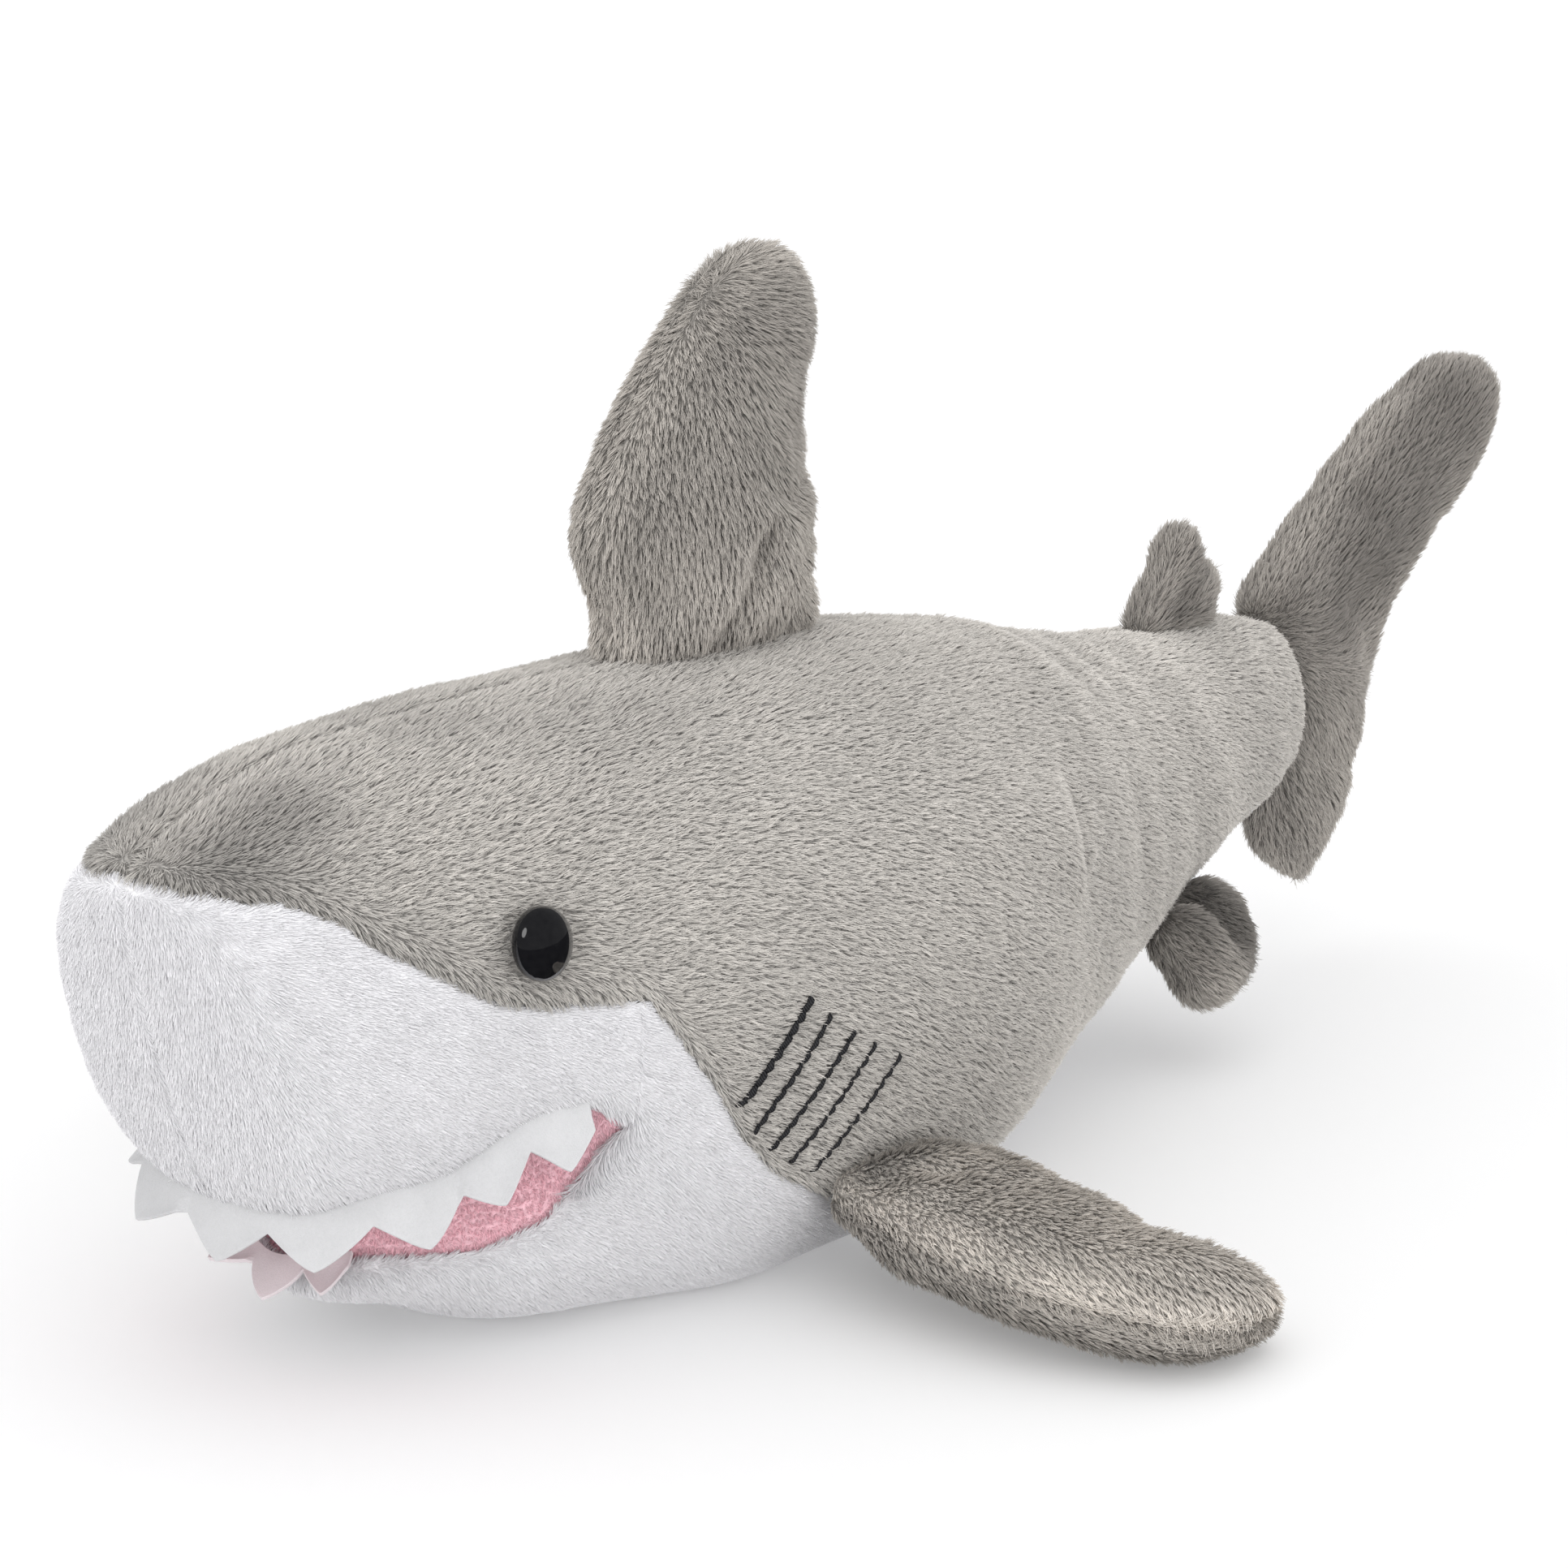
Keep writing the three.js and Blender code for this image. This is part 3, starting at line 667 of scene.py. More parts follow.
GREY, FIN_GREY = (0.462, 0.441, 0.414), (0.405, 0.378, 0.347)
WHITE, PINK = (0.678, 0.673, 0.69), (0.87, 0.56, 0.62)
FELT_WHITE, FELT_PINKISH = (0.485, 0.485, 0.495), (0.62, 0.555, 0.575)
MATERIALS = {
    # The grey and fin backings are darker than their strands: painted shade under the pile.
    "grey_plush": backing_material("grey_plush", shade(GREY, 0.75), 0.9, 0.35),
    "fin_plush": backing_material("fin_plush", shade(FIN_GREY, 0.7), 1.1, 0.45),
    "white_plush": backing_material("white_plush", WHITE, 0.7, 0.06),
    "mouth_fabric": backing_material("mouth_fabric", PINK, 0.6, 0.25),
    "teeth_felt": felt_material("teeth_felt", FELT_WHITE),
    "lower_teeth_felt": felt_material("lower_teeth_felt", FELT_PINKISH),
    "eye_plastic": eye_material(),
    "washer_plastic": washer_material(),
    "thread": thread_material(),
}
# Strand colours: the first factor is painted shade at the root, the second painted light at the tip,
# the last the wisps' random tone.
STRANDS = {
    "grey_plush": pile_material("grey_pile", GREY, 0.4, 1.2, 0.26),
    "fin_plush": pile_material("fin_pile", FIN_GREY, 0.46, 1.22, 0.22),
    "white_plush": pile_material("white_pile", WHITE, 0.93, 1.03, 0.06),
    "mouth_fabric": pile_material("pink_pile", PINK, 0.75, 1.12, 0.2),
}
PILES = {"grey_plush": GREY_PILE, "fin_plush": FIN_PILE, "white_plush": WHITE_PILE,
         "mouth_fabric": PINK_PILE}
PANELS = []  # every fabric panel with its slot, in the order they are made


def dress(piece, slot, replaced, body):
    """Gives a piece the material of its slot, hides the CAD nodes it stands for, and seats it."""
    piece.data.materials.clear()
    piece.data.materials.append(MATERIALS[slot])
    if replaced:
        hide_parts(*replaced)
    if isinstance(body, str):
        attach(piece, body)
    else:
        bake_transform(piece)


def finish_panel(piece, slot, replaced, body):
    """Dresses a fabric panel, which grows its pile when all is in place."""
    back_with_fabric(piece)
    dress(piece, slot, replaced, body)
    PANELS.append((piece, slot))


def grow_all_piles():
    for number, (piece, slot) in enumerate(PANELS, 1):
        grow_pile(piece, PILES[slot], STRANDS[slot], 10 * number)


# ---------------------------------------------------------------- the body's skin


def body_ring(sections, y, depth, columns):
    """One ring of points round a section."""
    top, bottom, half_width = through(sections[:, 0], sections[:, 1:], np.array([y]))[0]
    widest = bottom + WIDEST * (top - bottom)
    angle = np.linspace(0, 2 * math.pi, columns, endpoint=False)
    c, s = np.cos(angle), np.sin(angle)
    x = max(half_width - depth, 0.4) * np.sign(c) * np.abs(c) ** SIDE_POWER
    upper = widest + max(top - depth - widest, 0.4) * np.abs(s) ** TOP_POWER
    lower = widest - max(widest - bottom - depth, 0.4) * np.abs(s) ** BOTTOM_POWER
    return x, np.where(s >= 0, upper, lower)


def loft(sections, depth, rows, columns=96):
    """The points and faces of a closed skin over sections, the given depth under it."""
    first, last = sections[0, 0], sections[-1, 0]
    points = []
    for slant in np.linspace(-1, 1, rows):
        share = math.sin(slant * math.pi / 2)
        station = first + (last - first) * (1 + share) / 2
        x, z = body_ring(sections, station, depth, columns)
        points.append(np.stack([x, np.full(columns, station - depth * share), z], -1))
    return np.concatenate(points), tube_grid(rows, columns)


def body_shell():
    """The whole stuffed body as one closed shell, padded out."""
    main, main_faces = loft(BODY, BACKING_DEPTH, 120)
    jaw, jaw_faces = loft(JAW, BACKING_DEPTH, 60)
    joined = main_faces + [[i + len(main) for i in face] for face in jaw_faces]
    shell = mesh_object("body_shell", np.concatenate([main, jaw]), joined)
    remesh(shell, 3)
    relax(shell, 3)
    seam = seam_closeness(points_of(shell), 5)
    pad_out(shell, 4, 2.2, seam, 0.1)
    subdivide(shell)
    relax(shell, 1)
    return shell


def seam_height(y):
    return np.interp(y, COLOUR_SEAM[:, 0], COLOUR_SEAM[:, 1])


def above_colour_seam(points):
    """The height above the seam, which wanders a little where it is sewn."""
    return points[:, 2] - seam_height(points[:, 1]) + 0.4 * ripple(points, 9, 12)


def mouth_outline():
    front = [(AHEAD, LOWER_LIP[0, 1]), (AHEAD, UPPER_RIM[0, 1])]
    return np.concatenate([UPPER_RIM, [MOUTH_CORNER], LOWER_LIP[::-1], front])


def outside_mouth(points):
    side_view = points[:, 1:]
    outline = mouth_outline()
    away = to_polyline(side_view, outline, closed=True)
    return np.where(inside_outline(side_view, outline), -away, away)


def behind_cheek_seam(points):
    rise = (points[:, 2] - MOUTH_CORNER[1]) / (CHEEK_TOP[1] - MOUTH_CORNER[1])
    return points[:, 1] - (MOUTH_CORNER[0] + rise * (CHEEK_TOP[0] - MOUTH_CORNER[0]))


def left_side(points):
    return points[:, 0]


def seam_closeness(points, reach):
    """1 on a seam and 0 further away than reach."""
    side_view = points[:, 1:]
    colour = to_polyline(side_view, COLOUR_SEAM)
    spine = np.where(above_colour_seam(points) > 0, np.abs(points[:, 0]), reach)
    return np.clip(1 - np.minimum(colour, spine) / reach, 0, 1)


def body_region(points):
    """The panel that each point belongs to, or nothing inside the mouth."""
    side = np.where(points[:, 0] > 0, "left", "right")
    grey = above_colour_seam(points) > 0
    open_mouth = outside_mouth(points) < 0
    rim = np.concatenate([UPPER_RIM, [MOUTH_CORNER]])
    over_mouth = points[:, 2] > np.interp(points[:, 1], rim[:, 0], rim[:, 1]) - 1
    snout = (behind_cheek_seam(points) < 0) & over_mouth
    region = np.where(snout, np.char.add("snout_", side), "belly")
    region = np.where(grey, np.char.add("back_", side), region)
    return np.where(open_mouth, "", region)


def half_width_at(y, z):
    top, bottom, half_width = through(BODY[:, 0], BODY[:, 1:], np.atleast_1d(float(y)))[0]
    widest = bottom + WIDEST * (top - bottom)
    upper = z > widest
    share = (z - widest) / (top - widest) if upper else (widest - z) / (widest - bottom)
    s = share ** (1 / (TOP_POWER if upper else BOTTOM_POWER))
    return half_width * math.sqrt(max(1 - s * s, 0)) ** SIDE_POWER


def out_of_side(y, z):
    """The outward direction of the body's left side."""
    step = 0.5
    slope_y = (half_width_at(y + step, z) - half_width_at(y - step, z)) / (2 * step)
    slope_z = (half_width_at(y, z + step) - half_width_at(y, z - step)) / (2 * step)
    return unit([1, -slope_y, -slope_z])


def on_side(side, y, z, lift):
    point = np.array([half_width_at(y, z), y, z]) + out_of_side(y, z) * lift
    return point * (side, 1, 1)


def eye_place(side):
    return on_side(side, EYE["y"], EYE["z"], 0)


def gill_line(line, side, steps=2):
    top_y, top_z, bottom_y, bottom_z, _ = line
    return np.array([
        on_side(side, top_y + (bottom_y - top_y) * t, top_z + (bottom_z - top_z) * t, 0)
        for t in np.linspace(0, 1, steps)
    ])


def rings_at(points):
    """The rear body's soft upright wrinkles, from -1 to 1."""
    _, y, z = points.T
    rear = smoothstep(42, 70, y) * (1 - smoothstep(150, 168, y))
    tilt = y + 0.16 * (z - 60) + 4 * ripple(points, 90, 3)
    wave = np.sin(tilt * 2 * math.pi / 21 + 1.6 * np.sin(tilt / 14))
    return rear * wave * (0.6 + 0.4 * ripple(points, 60, 4))


def sculpt_body(points, normals):
    """The body's own folds, moved along the normals: rings, hollows and the eye sockets."""
    x, y, z = points.T
    move = 0.3 * rings_at(points)
    move += 0.35 * ripple(points, 42, 5) * smoothstep(-100, -40, y)
    move += 0.6 * np.exp(-((x / 5.5) ** 2)) * (z > 60) * smoothstep(-135, -100, y)
    for _, side in SIDES:
        near = np.linalg.norm(points - eye_place(side), axis=1)
        move -= EYE_HOLLOW * np.exp(-((near / 8) ** 2))
    return points + normals * move[:, None]


def rest_on_floor(points):
    """Flattens what would reach below the floor, with a soft turn at its edge."""
    soft = 3.0
    lift = points[:, 2] - GROUND
    raised = 0.5 * (lift + np.sqrt(lift ** 2 + soft ** 2))
    sunk = 0.5 * soft * np.exp(-np.abs(lift) / 8)
    points[:, 2] = np.maximum(GROUND + raised - sunk, GROUND * 0.6)
    return points


def rim_closeness(points):
    """1 at the mouth's upper rim, where the pile hangs over the teeth's sewn edge."""
    return np.exp(-((outside_mouth(points) / 2.2) ** 2)) * (points[:, 2] > 26)


def pile_length_on_body(points):
    """Shorter pile by the eyes, under the gill threads and where the belly rests."""
    length = np.ones(len(points))
    for _, side in SIDES:
        near = np.linalg.norm(points - eye_place(side), axis=1)
        length *= 0.2 + 0.8 * smoothstep(4.5, 8.5, near)
        for line in GILLS:
            gap = to_polyline(points, gill_line(line, side, 6))
            length *= 0.3 + 0.7 * smoothstep(0.8, 2.8, gap)
    length *= 1 + 0.9 * rim_closeness(points)
    return length * (0.3 + 0.7 * smoothstep(1, 5, points[:, 2]))


def comb_on_body(points, white):
    """The way the pile lies: backwards, turning down along the flanks and over the front seam."""
    down = np.where(white, 0.5, 0.12 + 0.45 * smoothstep(-75, -10, points[:, 1]))
    if white:
        down = down + 2 * rim_closeness(points)
    else:
        front = 1 - smoothstep(-75, -45, points[:, 1])
        down = down + 1.4 * front * (1 - smoothstep(1, 8, above_colour_seam(points)))
    return np.stack([np.zeros(len(points)), np.ones(len(points)), -down], -1)


# Painted shade in patches where the pile is brushed another way: a line from end to end, its reach
# and its depth.
PAINTED_SHADE_PATCHES = [
    (((13.6, -119.5, 96), (12.5, -129, 90)), 9, 0.36),
    (((8.7, -88, 103.3), (8.7, -80, 103.6)), 8, 0.16),
    (((15, -70, 103), (22, -40, 101)), 9, 0.12),
]


def tone_light_and_shade_on_body(points, white):
    """Painted shade in patches where the grey pile is brushed another way, which leaves the spine
    paler, painted light on the rear wrinkles' ridges and painted shade along the colour seam at the
    front of the snout.
    """
    if white:
        return np.ones(len(points))
    mirrored = points * (np.sign(points[:, :1] + 1e-9) * (1, 0, 0) + (0, 1, 1))
    # Painted light on the ridges of the rear wrinkles and a little painted shade in their hollows,
    # over a random tone.
    tone = 1 + 0.05 * ripple(points, 60, 8) + 0.07 * np.clip(rings_at(points), -0.4, 1)
    # Painted shade in the brushed patches.
    for ends, reach, depth in PAINTED_SHADE_PATCHES:
        gap = to_polyline(mirrored, np.array(ends, float))
        tone *= 1 - depth * np.exp(-((gap / reach) ** 2))
    # Painted shade along the colour seam at the front of the snout.
    seam_shade = np.exp(-((above_colour_seam(points) / 6) ** 2))
    return tone * (1 - 0.12 * seam_shade * (1 - smoothstep(-100, -60, points[:, 1])))


BODY_PANELS = {
    "back_left": ("grey_back_left", "grey_plush", ["back_panel_left", "body_stuffing"]),
    "back_right": ("grey_back_right", "grey_plush", ["back_panel_right"]),
    "belly": ("white_belly", "white_plush", ["belly_panel"]),
    "snout_left": ("white_snout_left", "white_plush", ["snout_panel_left"]),
    "snout_right": ("white_snout_right", "white_plush", ["snout_panel_right"]),
}


def make_body():
    """The body's five panels and the mouth lining, cut from one padded shell."""
    shell = body_shell()
    move_points(shell, rest_on_floor(sculpt_body(points_of(shell), normals_of(shell))))
    seams = [outside_mouth, above_colour_seam, left_side, behind_cheek_seam]
    panels = panels_of(shell, seams, body_region)
    for region, (name, slot, replaced) in BODY_PANELS.items():
        piece = mesh_object(name, *panels[region])
        points = points_of(piece)
        white = slot == "white_plush"
        store(piece, "pile", pile_length_on_body(points))
        store(piece, "comb", comb_on_body(points, white))
        store(piece, "tone", tone_light_and_shade_on_body(points, white))
        cheek = np.exp(-((behind_cheek_seam(points) / 3.5) ** 2)) * (points[:, 2] > 40)
        middle = np.exp(-((points[:, 0] / 3) ** 2))
        turn_in_edges(piece, (1 - cheek) * (1 - 0.5 * middle) if white else 1.3, 2.6)
        finish_panel(piece, slot, replaced, "body")
    make_lining(shell)
    bpy.data.objects.remove(shell)


def make_lining(shell):
    """The pink fabric inside the mouth, set in behind the lips."""
    margin = 3.0

    def past_margin(points):
        return outside_mouth(points) - margin

    def region(points):
        return np.where(past_margin(points) < 0, "lining", "")

    points, faces = panels_of(shell, [past_margin], region)["lining"]
    piece = mesh_object("pink_mouth_lining", points, faces)
    depth = 2.4 + 2.2 * smoothstep(0, 7, -outside_mouth(points))
    move_points(piece, points - normals_of(piece) * depth[:, None])
    relax(piece, 6)
    store(piece, "pile", np.ones(len(points)))
    store(piece, "comb", np.tile((0, 0.4, -1.0), (len(points), 1)))
    store(piece, "tone", np.ones(len(points)))
    finish_panel(piece, "mouth_fabric", ["mouth_lining"], "body")


# ---------------------------------------------------------------- eyes and gill threads


def turned(name, profile, base, axis, columns=48):
    """A solid of revolution: profile holds (radius, height) from the bottom to the top."""
    axis = unit(axis)
    across = unit(np.cross(axis, (0, 0, 1)))
    around = np.cross(axis, across)
    angle = np.linspace(0, 2 * math.pi, columns, endpoint=False)[:, None]
    spokes = np.cos(angle) * across + np.sin(angle) * around
    rings = [base + axis * height + spokes * radius for radius, height in profile]
    return mesh_object(name, np.concatenate(rings), tube_grid(len(profile), columns))


def make_eyes():
    """Button eyes on a shank, and the plastic of the washers that lock them."""
    radius, dome, rim = EYE["radius"], EYE["dome"], EYE["rim"]
    arc = [
        (radius * math.cos(a), rim + (dome - rim) * math.sin(a))
        for a in np.linspace(0, math.pi / 2 - 0.03, 14)
    ]
    profile = [(1.5, -7.5), (1.5, -0.6), (radius - 0.7, -0.6), (radius - 0.15, -0.1),
               (radius, 0.35)] + arc
    for word, side in SIDES:
        out = unit((out_of_side(EYE["y"], EYE["z"]) + EYE_LOOK) * (side, 1, 1))
        base = eye_place(side) - out * (EYE_HOLLOW - 1.0)
        piece = turned(f"button_eye_{word}", profile, base, out)
        smooth_faces(piece)
        dress(piece, "eye_plastic", [f"eye_{word}"], "body")
        washer = frame["nodes"][f"eye_washer_{word}"]
        washer.data.materials.clear()
        washer.data.materials.append(MATERIALS["washer_plastic"])


STITCH = 2.6  # the length of one embroidery stitch
THREAD_STEP = 0.3  # how finely a thread is modelled along its length
TWIST = 0.5  # how far the thread's oval turns at each step


def thread_path(line, side, skin):
    """The middle and the radius of a thread that dips into the pile between its stitches."""
    top_y, top_z, bottom_y, bottom_z, radius = line
    length = math.hypot(bottom_y - top_y, bottom_z - top_z)
    centres, radii = [], []
    for t in np.linspace(0, 1, int(length / THREAD_STEP)):
        y = top_y + (bottom_y - top_y) * t
        z = top_z + (bottom_z - top_z) * t
        beat = abs(math.sin(math.pi * t * length / STITCH)) ** 0.5
        wobble = 0.18 * math.sin(t * length * 1.7 + top_y)
        lift = out_of_side(y, z) * (side, 1, 1) * (0.55 + 0.75 * beat)
        surface = nearest_on(skin, on_side(side, y, z, 0))
        centres.append(surface + lift + np.array([0, wobble, wobble * 0.5]))
        radii.append(radius * (0.6 + 0.4 * beat))
    return np.array(centres), np.array(radii)


def make_gill(name, line, side, skin):
    """One embroidered line: a twisted thread, slightly oval, round its path."""
    centres, radii = thread_path(line, side, skin)
    columns = 10
    tangent = unit(np.gradient(centres, axis=0))
    out = unit(np.cross(tangent, (side, 0, 0)))
    across = np.cross(tangent, out)
    around = np.linspace(0, 2 * math.pi, columns, endpoint=False)
    rings = []
    for i, (centre, radius) in enumerate(zip(centres, radii)):
        oval = radius * (1 + 0.14 * np.cos(2 * around))
        angle = around + i * TWIST
        rings.append(centre + (np.cos(angle) * oval)[:, None] * out[i]
                     + (np.sin(angle) * oval)[:, None] * across[i])
    piece = mesh_object(name, np.concatenate(rings), tube_grid(len(centres), columns))
    smooth_faces(piece)
    return piece


def make_gills():
    for word, side in SIDES:
        skin = bpy.data.objects[f"grey_back_{word}"]
        for number, line in enumerate(GILLS, 1):
            piece = make_gill(f"gill_thread_{word}_{number}", line, side, skin)
            dress(piece, "thread", [f"gill_stitch_{word}_{number}"], "body")


# ---------------------------------------------------------------- teeth

FELT = 1.1
UPPER_TEETH = {
    "edge": [(0, -123, 30.5), (13, -121, 31), (23, -116.5, 32.1), (28, -108.5, 33.6),
             (31, -100, 34.6), (34.5, -93, 37.7), (37, -87, 40.6), (40.8, -79, 41.8)],
    "count": 9, "hidden": 2.5, "root": 4.8, "length": 6.8, "droop": math.radians(70),
    "crowding": 0.034, "shift": 0.022, "on_snout": True,
}
LOWER_TEETH = {
    "edge": [(0, -111.8, 16.6), (7, -110, 17.4), (13, -106.5, 18.6)],
    "count": 3, "hidden": 1.0, "root": 2.2, "length": 6, "droop": math.radians(38),
    "crowding": 0.0, "shift": 0.08, "on_snout": False,
}


def rim_of_snout(edge):
    """The edge moved to the padded snout's rim, just behind its skin."""
    snout = bpy.data.objects["white_snout_left"]
    return np.array([nearest_on(snout, point) for point in edge]) + (0, 0.6, 0)


def tooth_strip(name, spec, seed):
    """A felt strip with a zig-zag edge, bent round its seam and leaning out as it hangs."""
    left = np.array(spec["edge"], float)
    if spec["on_snout"]:
        left = rim_of_snout(left) * [(i > 0, 1, 1) for i in range(len(left))]
    edge = np.concatenate([(left * (-1, 1, 1))[:0:-1], left])
    gaps = np.linalg.norm(np.diff(edge, axis=0), axis=1)
    reach = np.concatenate([[0], np.cumsum(gaps)]) / gaps.sum()
    draw = np.random.default_rng(seed)
    size = draw.uniform(0.9, 1.08, spec["count"])
    per_tooth, rows = 12, 12
    columns = spec["count"] * per_tooth + 1
    grid = np.zeros((columns, rows, 2, 3))
    lean = draw.uniform(-0.25, 0.25, spec["count"])
    for i in range(columns):
        share = i / (columns - 1)
        from_middle = (share - 0.5) * spec["count"]
        squeeze = 1 - spec["crowding"] * abs(from_middle)
        at = 0.5 + (share - 0.5) * squeeze / (1 - spec["crowding"] * spec["count"] / 2)
        at += spec["shift"] * (1 - (2 * share - 1) ** 2)
        here, ahead = through(reach, edge, np.array([at, min(at + 0.004, 1)]))
        back = through(reach, edge, np.array([max(at - 0.004, 0)]))[0]
        tangent = unit((ahead - back) * (1, 1, 0))
        outward = np.cross(tangent, (0, 0, 1))
        tooth = min(int(share * spec["count"]), spec["count"] - 1)
        across = share * spec["count"] - tooth
        to_tip = 1 - abs(2 * across - 1)
        soft_tip = to_tip - 0.08 * to_tip ** 6
        lip = 0.06 * math.sin(share * 40 + seed)
        for j in range(rows):
            down = j / (rows - 1)
            visible = spec["root"] + spec["length"] * size[tooth] * soft_tip
            drop = down * (spec["hidden"] + visible) - spec["hidden"]
            curl = spec["droop"] + lean[tooth] * down - 0.25 * down ** 2
            up_strip = -outward * math.cos(curl) + np.array((0, 0, math.sin(curl)))
            normal = np.cross(tangent, up_strip)
            centre = here - up_strip * drop + normal * (0.5 * FELT + lip)
            thick = FELT * (1 - 0.35 * down ** 8) * 0.5
            grid[i, j, 0] = centre - normal * thick
            grid[i, j, 1] = centre + normal * thick
    return mesh_object(name, grid.reshape(-1, 3), strip_faces(columns, rows))


def strip_faces(columns, rows):
    """Faces of a thin strip with two sides, from a grid of columns, rows and sides."""
    index = np.arange(columns * rows * 2).reshape(columns, rows, 2).tolist()
    faces = []
    for i in range(columns - 1):
        for j in range(rows - 1):
            a, b, c, d = index[i][j], index[i + 1][j], index[i + 1][j + 1], index[i][j + 1]
            faces.append((a[1], b[1], c[1], d[1]))
            faces.append((a[0], d[0], c[0], b[0]))
        for j, flip in ((0, False), (rows - 1, True)):
            a, b = index[i][j], index[i + 1][j]
            wall = (a[0], b[0], b[1], a[1])
            faces.append(wall[::-1] if flip else wall)
    for i, flip in ((0, True), (columns - 1, False)):
        for j in range(rows - 1):
            a, b = index[i][j], index[i][j + 1]
            wall = (a[0], b[0], b[1], a[1])
            faces.append(wall[::-1] if flip else wall)
    return faces


def make_teeth():
    """Both felt strips, with their cut edges softened."""
    upper = tooth_strip("felt_teeth_upper", UPPER_TEETH, 5)
    lower = tooth_strip("felt_teeth_lower", LOWER_TEETH, 6)
    for piece, node in ((upper, "upper_teeth_strip"), (lower, "lower_teeth_strip")):
        bevel = piece.modifiers.new("soft_edge", "BEVEL")
        bevel.width = 0.25 * MM
        bevel.segments = 2
        bevel.limit_method = "ANGLE"
        dress(piece, "teeth_felt", [node], "body")
    lower.data.materials[0] = MATERIALS["lower_teeth_felt"]


# ---------------------------------------------------------------- fins

PILE_MARGIN = 1.2  # how far a fin's pile stands out round its edge
BEND = (1, 11)  # distances before and behind a fin's root for two points handed to dress, which leaves them unused
PILLOW_FILL = 0.8  # how full a fin is before the padding
OUTLINE_GIVE = 0.3  # how much of the padding's pull the sewn outline of a fin gives way to

# Outlines are [along the root, away from it]. "half" is half the thickness, "cap" and "gather"
# are how far the padding may move a point and how much it draws in the seam. "nap" is the way
# the pile lies in front and behind, "tone" the fin's tone, which paints in how much light falls
# on it, and "under" the painted shade of its lower side. A streak is a darker line of painted
# shade, or a paler one of painted light where its depth is below 0: its ends, reach and depth.
# A fold is a line from one place to another on one side (1, -1, or 0 for both) with its depth
# and half width.
DORSAL = {
    "outline": [(-23, -7), (-28, 6), (-33, 17), (-31.5, 27), (-26, 36), (-18, 47.5), (-10, 56),
                (-1, 64), (8.5, 69), (16, 70), (22, 67), (27, 60.5), (27.5, 52), (24.5, 42),
                (25, 32), (27.5, 23), (26.5, 10), (23, -7)],
    "middle": (0, 28), "half": 12, "cap": 2.6, "gather": 0.05, "tone": 0.86,
    "nap": ((-0.15, -1), (1.1, -0.5)),
    "streaks": [((4, 58), (8, 34), 13, 0.1), ((-16, 4), (20, 6), 15, -0.24)],
    "folds": [((-6, 1), (3, 17), -1, 2.2, 2.8), ((3, 17), (5, 24), -1, 0.7, 4),
              ((10, 24), (20, 27), -1, 0.8, 2.4), ((13, -2), (16, 7), -1, 1.4, 1.9),
              ((18, -2), (21, 9), -1, 1.3, 1.9), ((-6, 2), (4, 20), 1, 1.8, 3),
              ((16, 0), (15, 12), 1, 1.3, 2.4)],
}
SECOND_DORSAL = {
    "outline": [(-12.5, -5), (-10, 5), (-5.5, 12.5), (-2, 19.5), (3, 23), (8, 18.5),
                (14.5, 12.5), (19.5, 8), (17.5, 3), (14, -5)],
    "middle": (3, 6), "half": 6.5, "cap": 4, "gather": 0.12, "tone": 0.74,
    "nap": ((0.5, 0.8), (1, 0.2)), "streaks": [((-4, 0), (9, 14), 2.5, 0.2)],
    "folds": [((-4, 0), (9, 14), -1, 1.4, 2.2), ((-4, 0), (9, 14), 1, 1.0, 2.2)],
}
TAIL = {
    "outline": [(-20, -11), (-29.5, -8), (-35, -1.5), (-37.5, 5.5), (-31.5, 11.5), (-22.5, 18),
                (-8.5, 21), (6, 24.5), (21, 29.5), (35.5, 40), (46.5, 49), (57, 57.5),
                (66.5, 61.5), (74.5, 62), (81, 55), (82.5, 45), (78.5, 35), (71, 23.5),
                (60, 11.5), (48.5, 0), (38.5, -9.5), (29, -16), (18, -12)],
    "middle": (4, 8), "half": 9, "cap": 2.6, "gather": 0.05, "tone": 0.79,
    "nap": ((-0.8, 0.3), (1, 0.6)), "body_end": (0, 20),
    "streaks": [((28, 8), (70, 42), 11, 0.26), ((-30, 4), (-6, 12), 16, -0.14)],
    "folds": [((-4, 2), (-8, 13), 1, 0.9, 3), ((-28, 2), (-30, 6), 1, 0.6, 2),
              ((-12, 2), (2, 12), 1, 0.7, 3), ((20, 0), (30, 20), 1, 0.8, 4)],
}
PECTORAL = {
    "outline": [(-16, -6), (-22, 8), (-23.5, 24), (-21.5, 42), (-14.5, 57.5), (-7, 66.5),
                (4, 71), (14, 70.3), (19.5, 68), (23.5, 61.5), (20, 51), (18, 43), (20, 31),
                (20.8, 12), (14, -6)],
    # A high tone as painted light on the fin's top, with painted shade under it.
    "middle": (-1, 33), "half": 8.7, "cap": 2.2, "gather": 0.04, "tone": 1.3,
    "under": 0.72, "nap": ((-0.42, 0.9), (-0.3, 0.95)), "streaks": [((-12, 2), (6, 3), 4, 0.2)],
    "folds": [((-15, 2), (-8, 12), 0, 1.0, 3), ((10, 2), (8, 12), 0, 1.0, 3)],
}
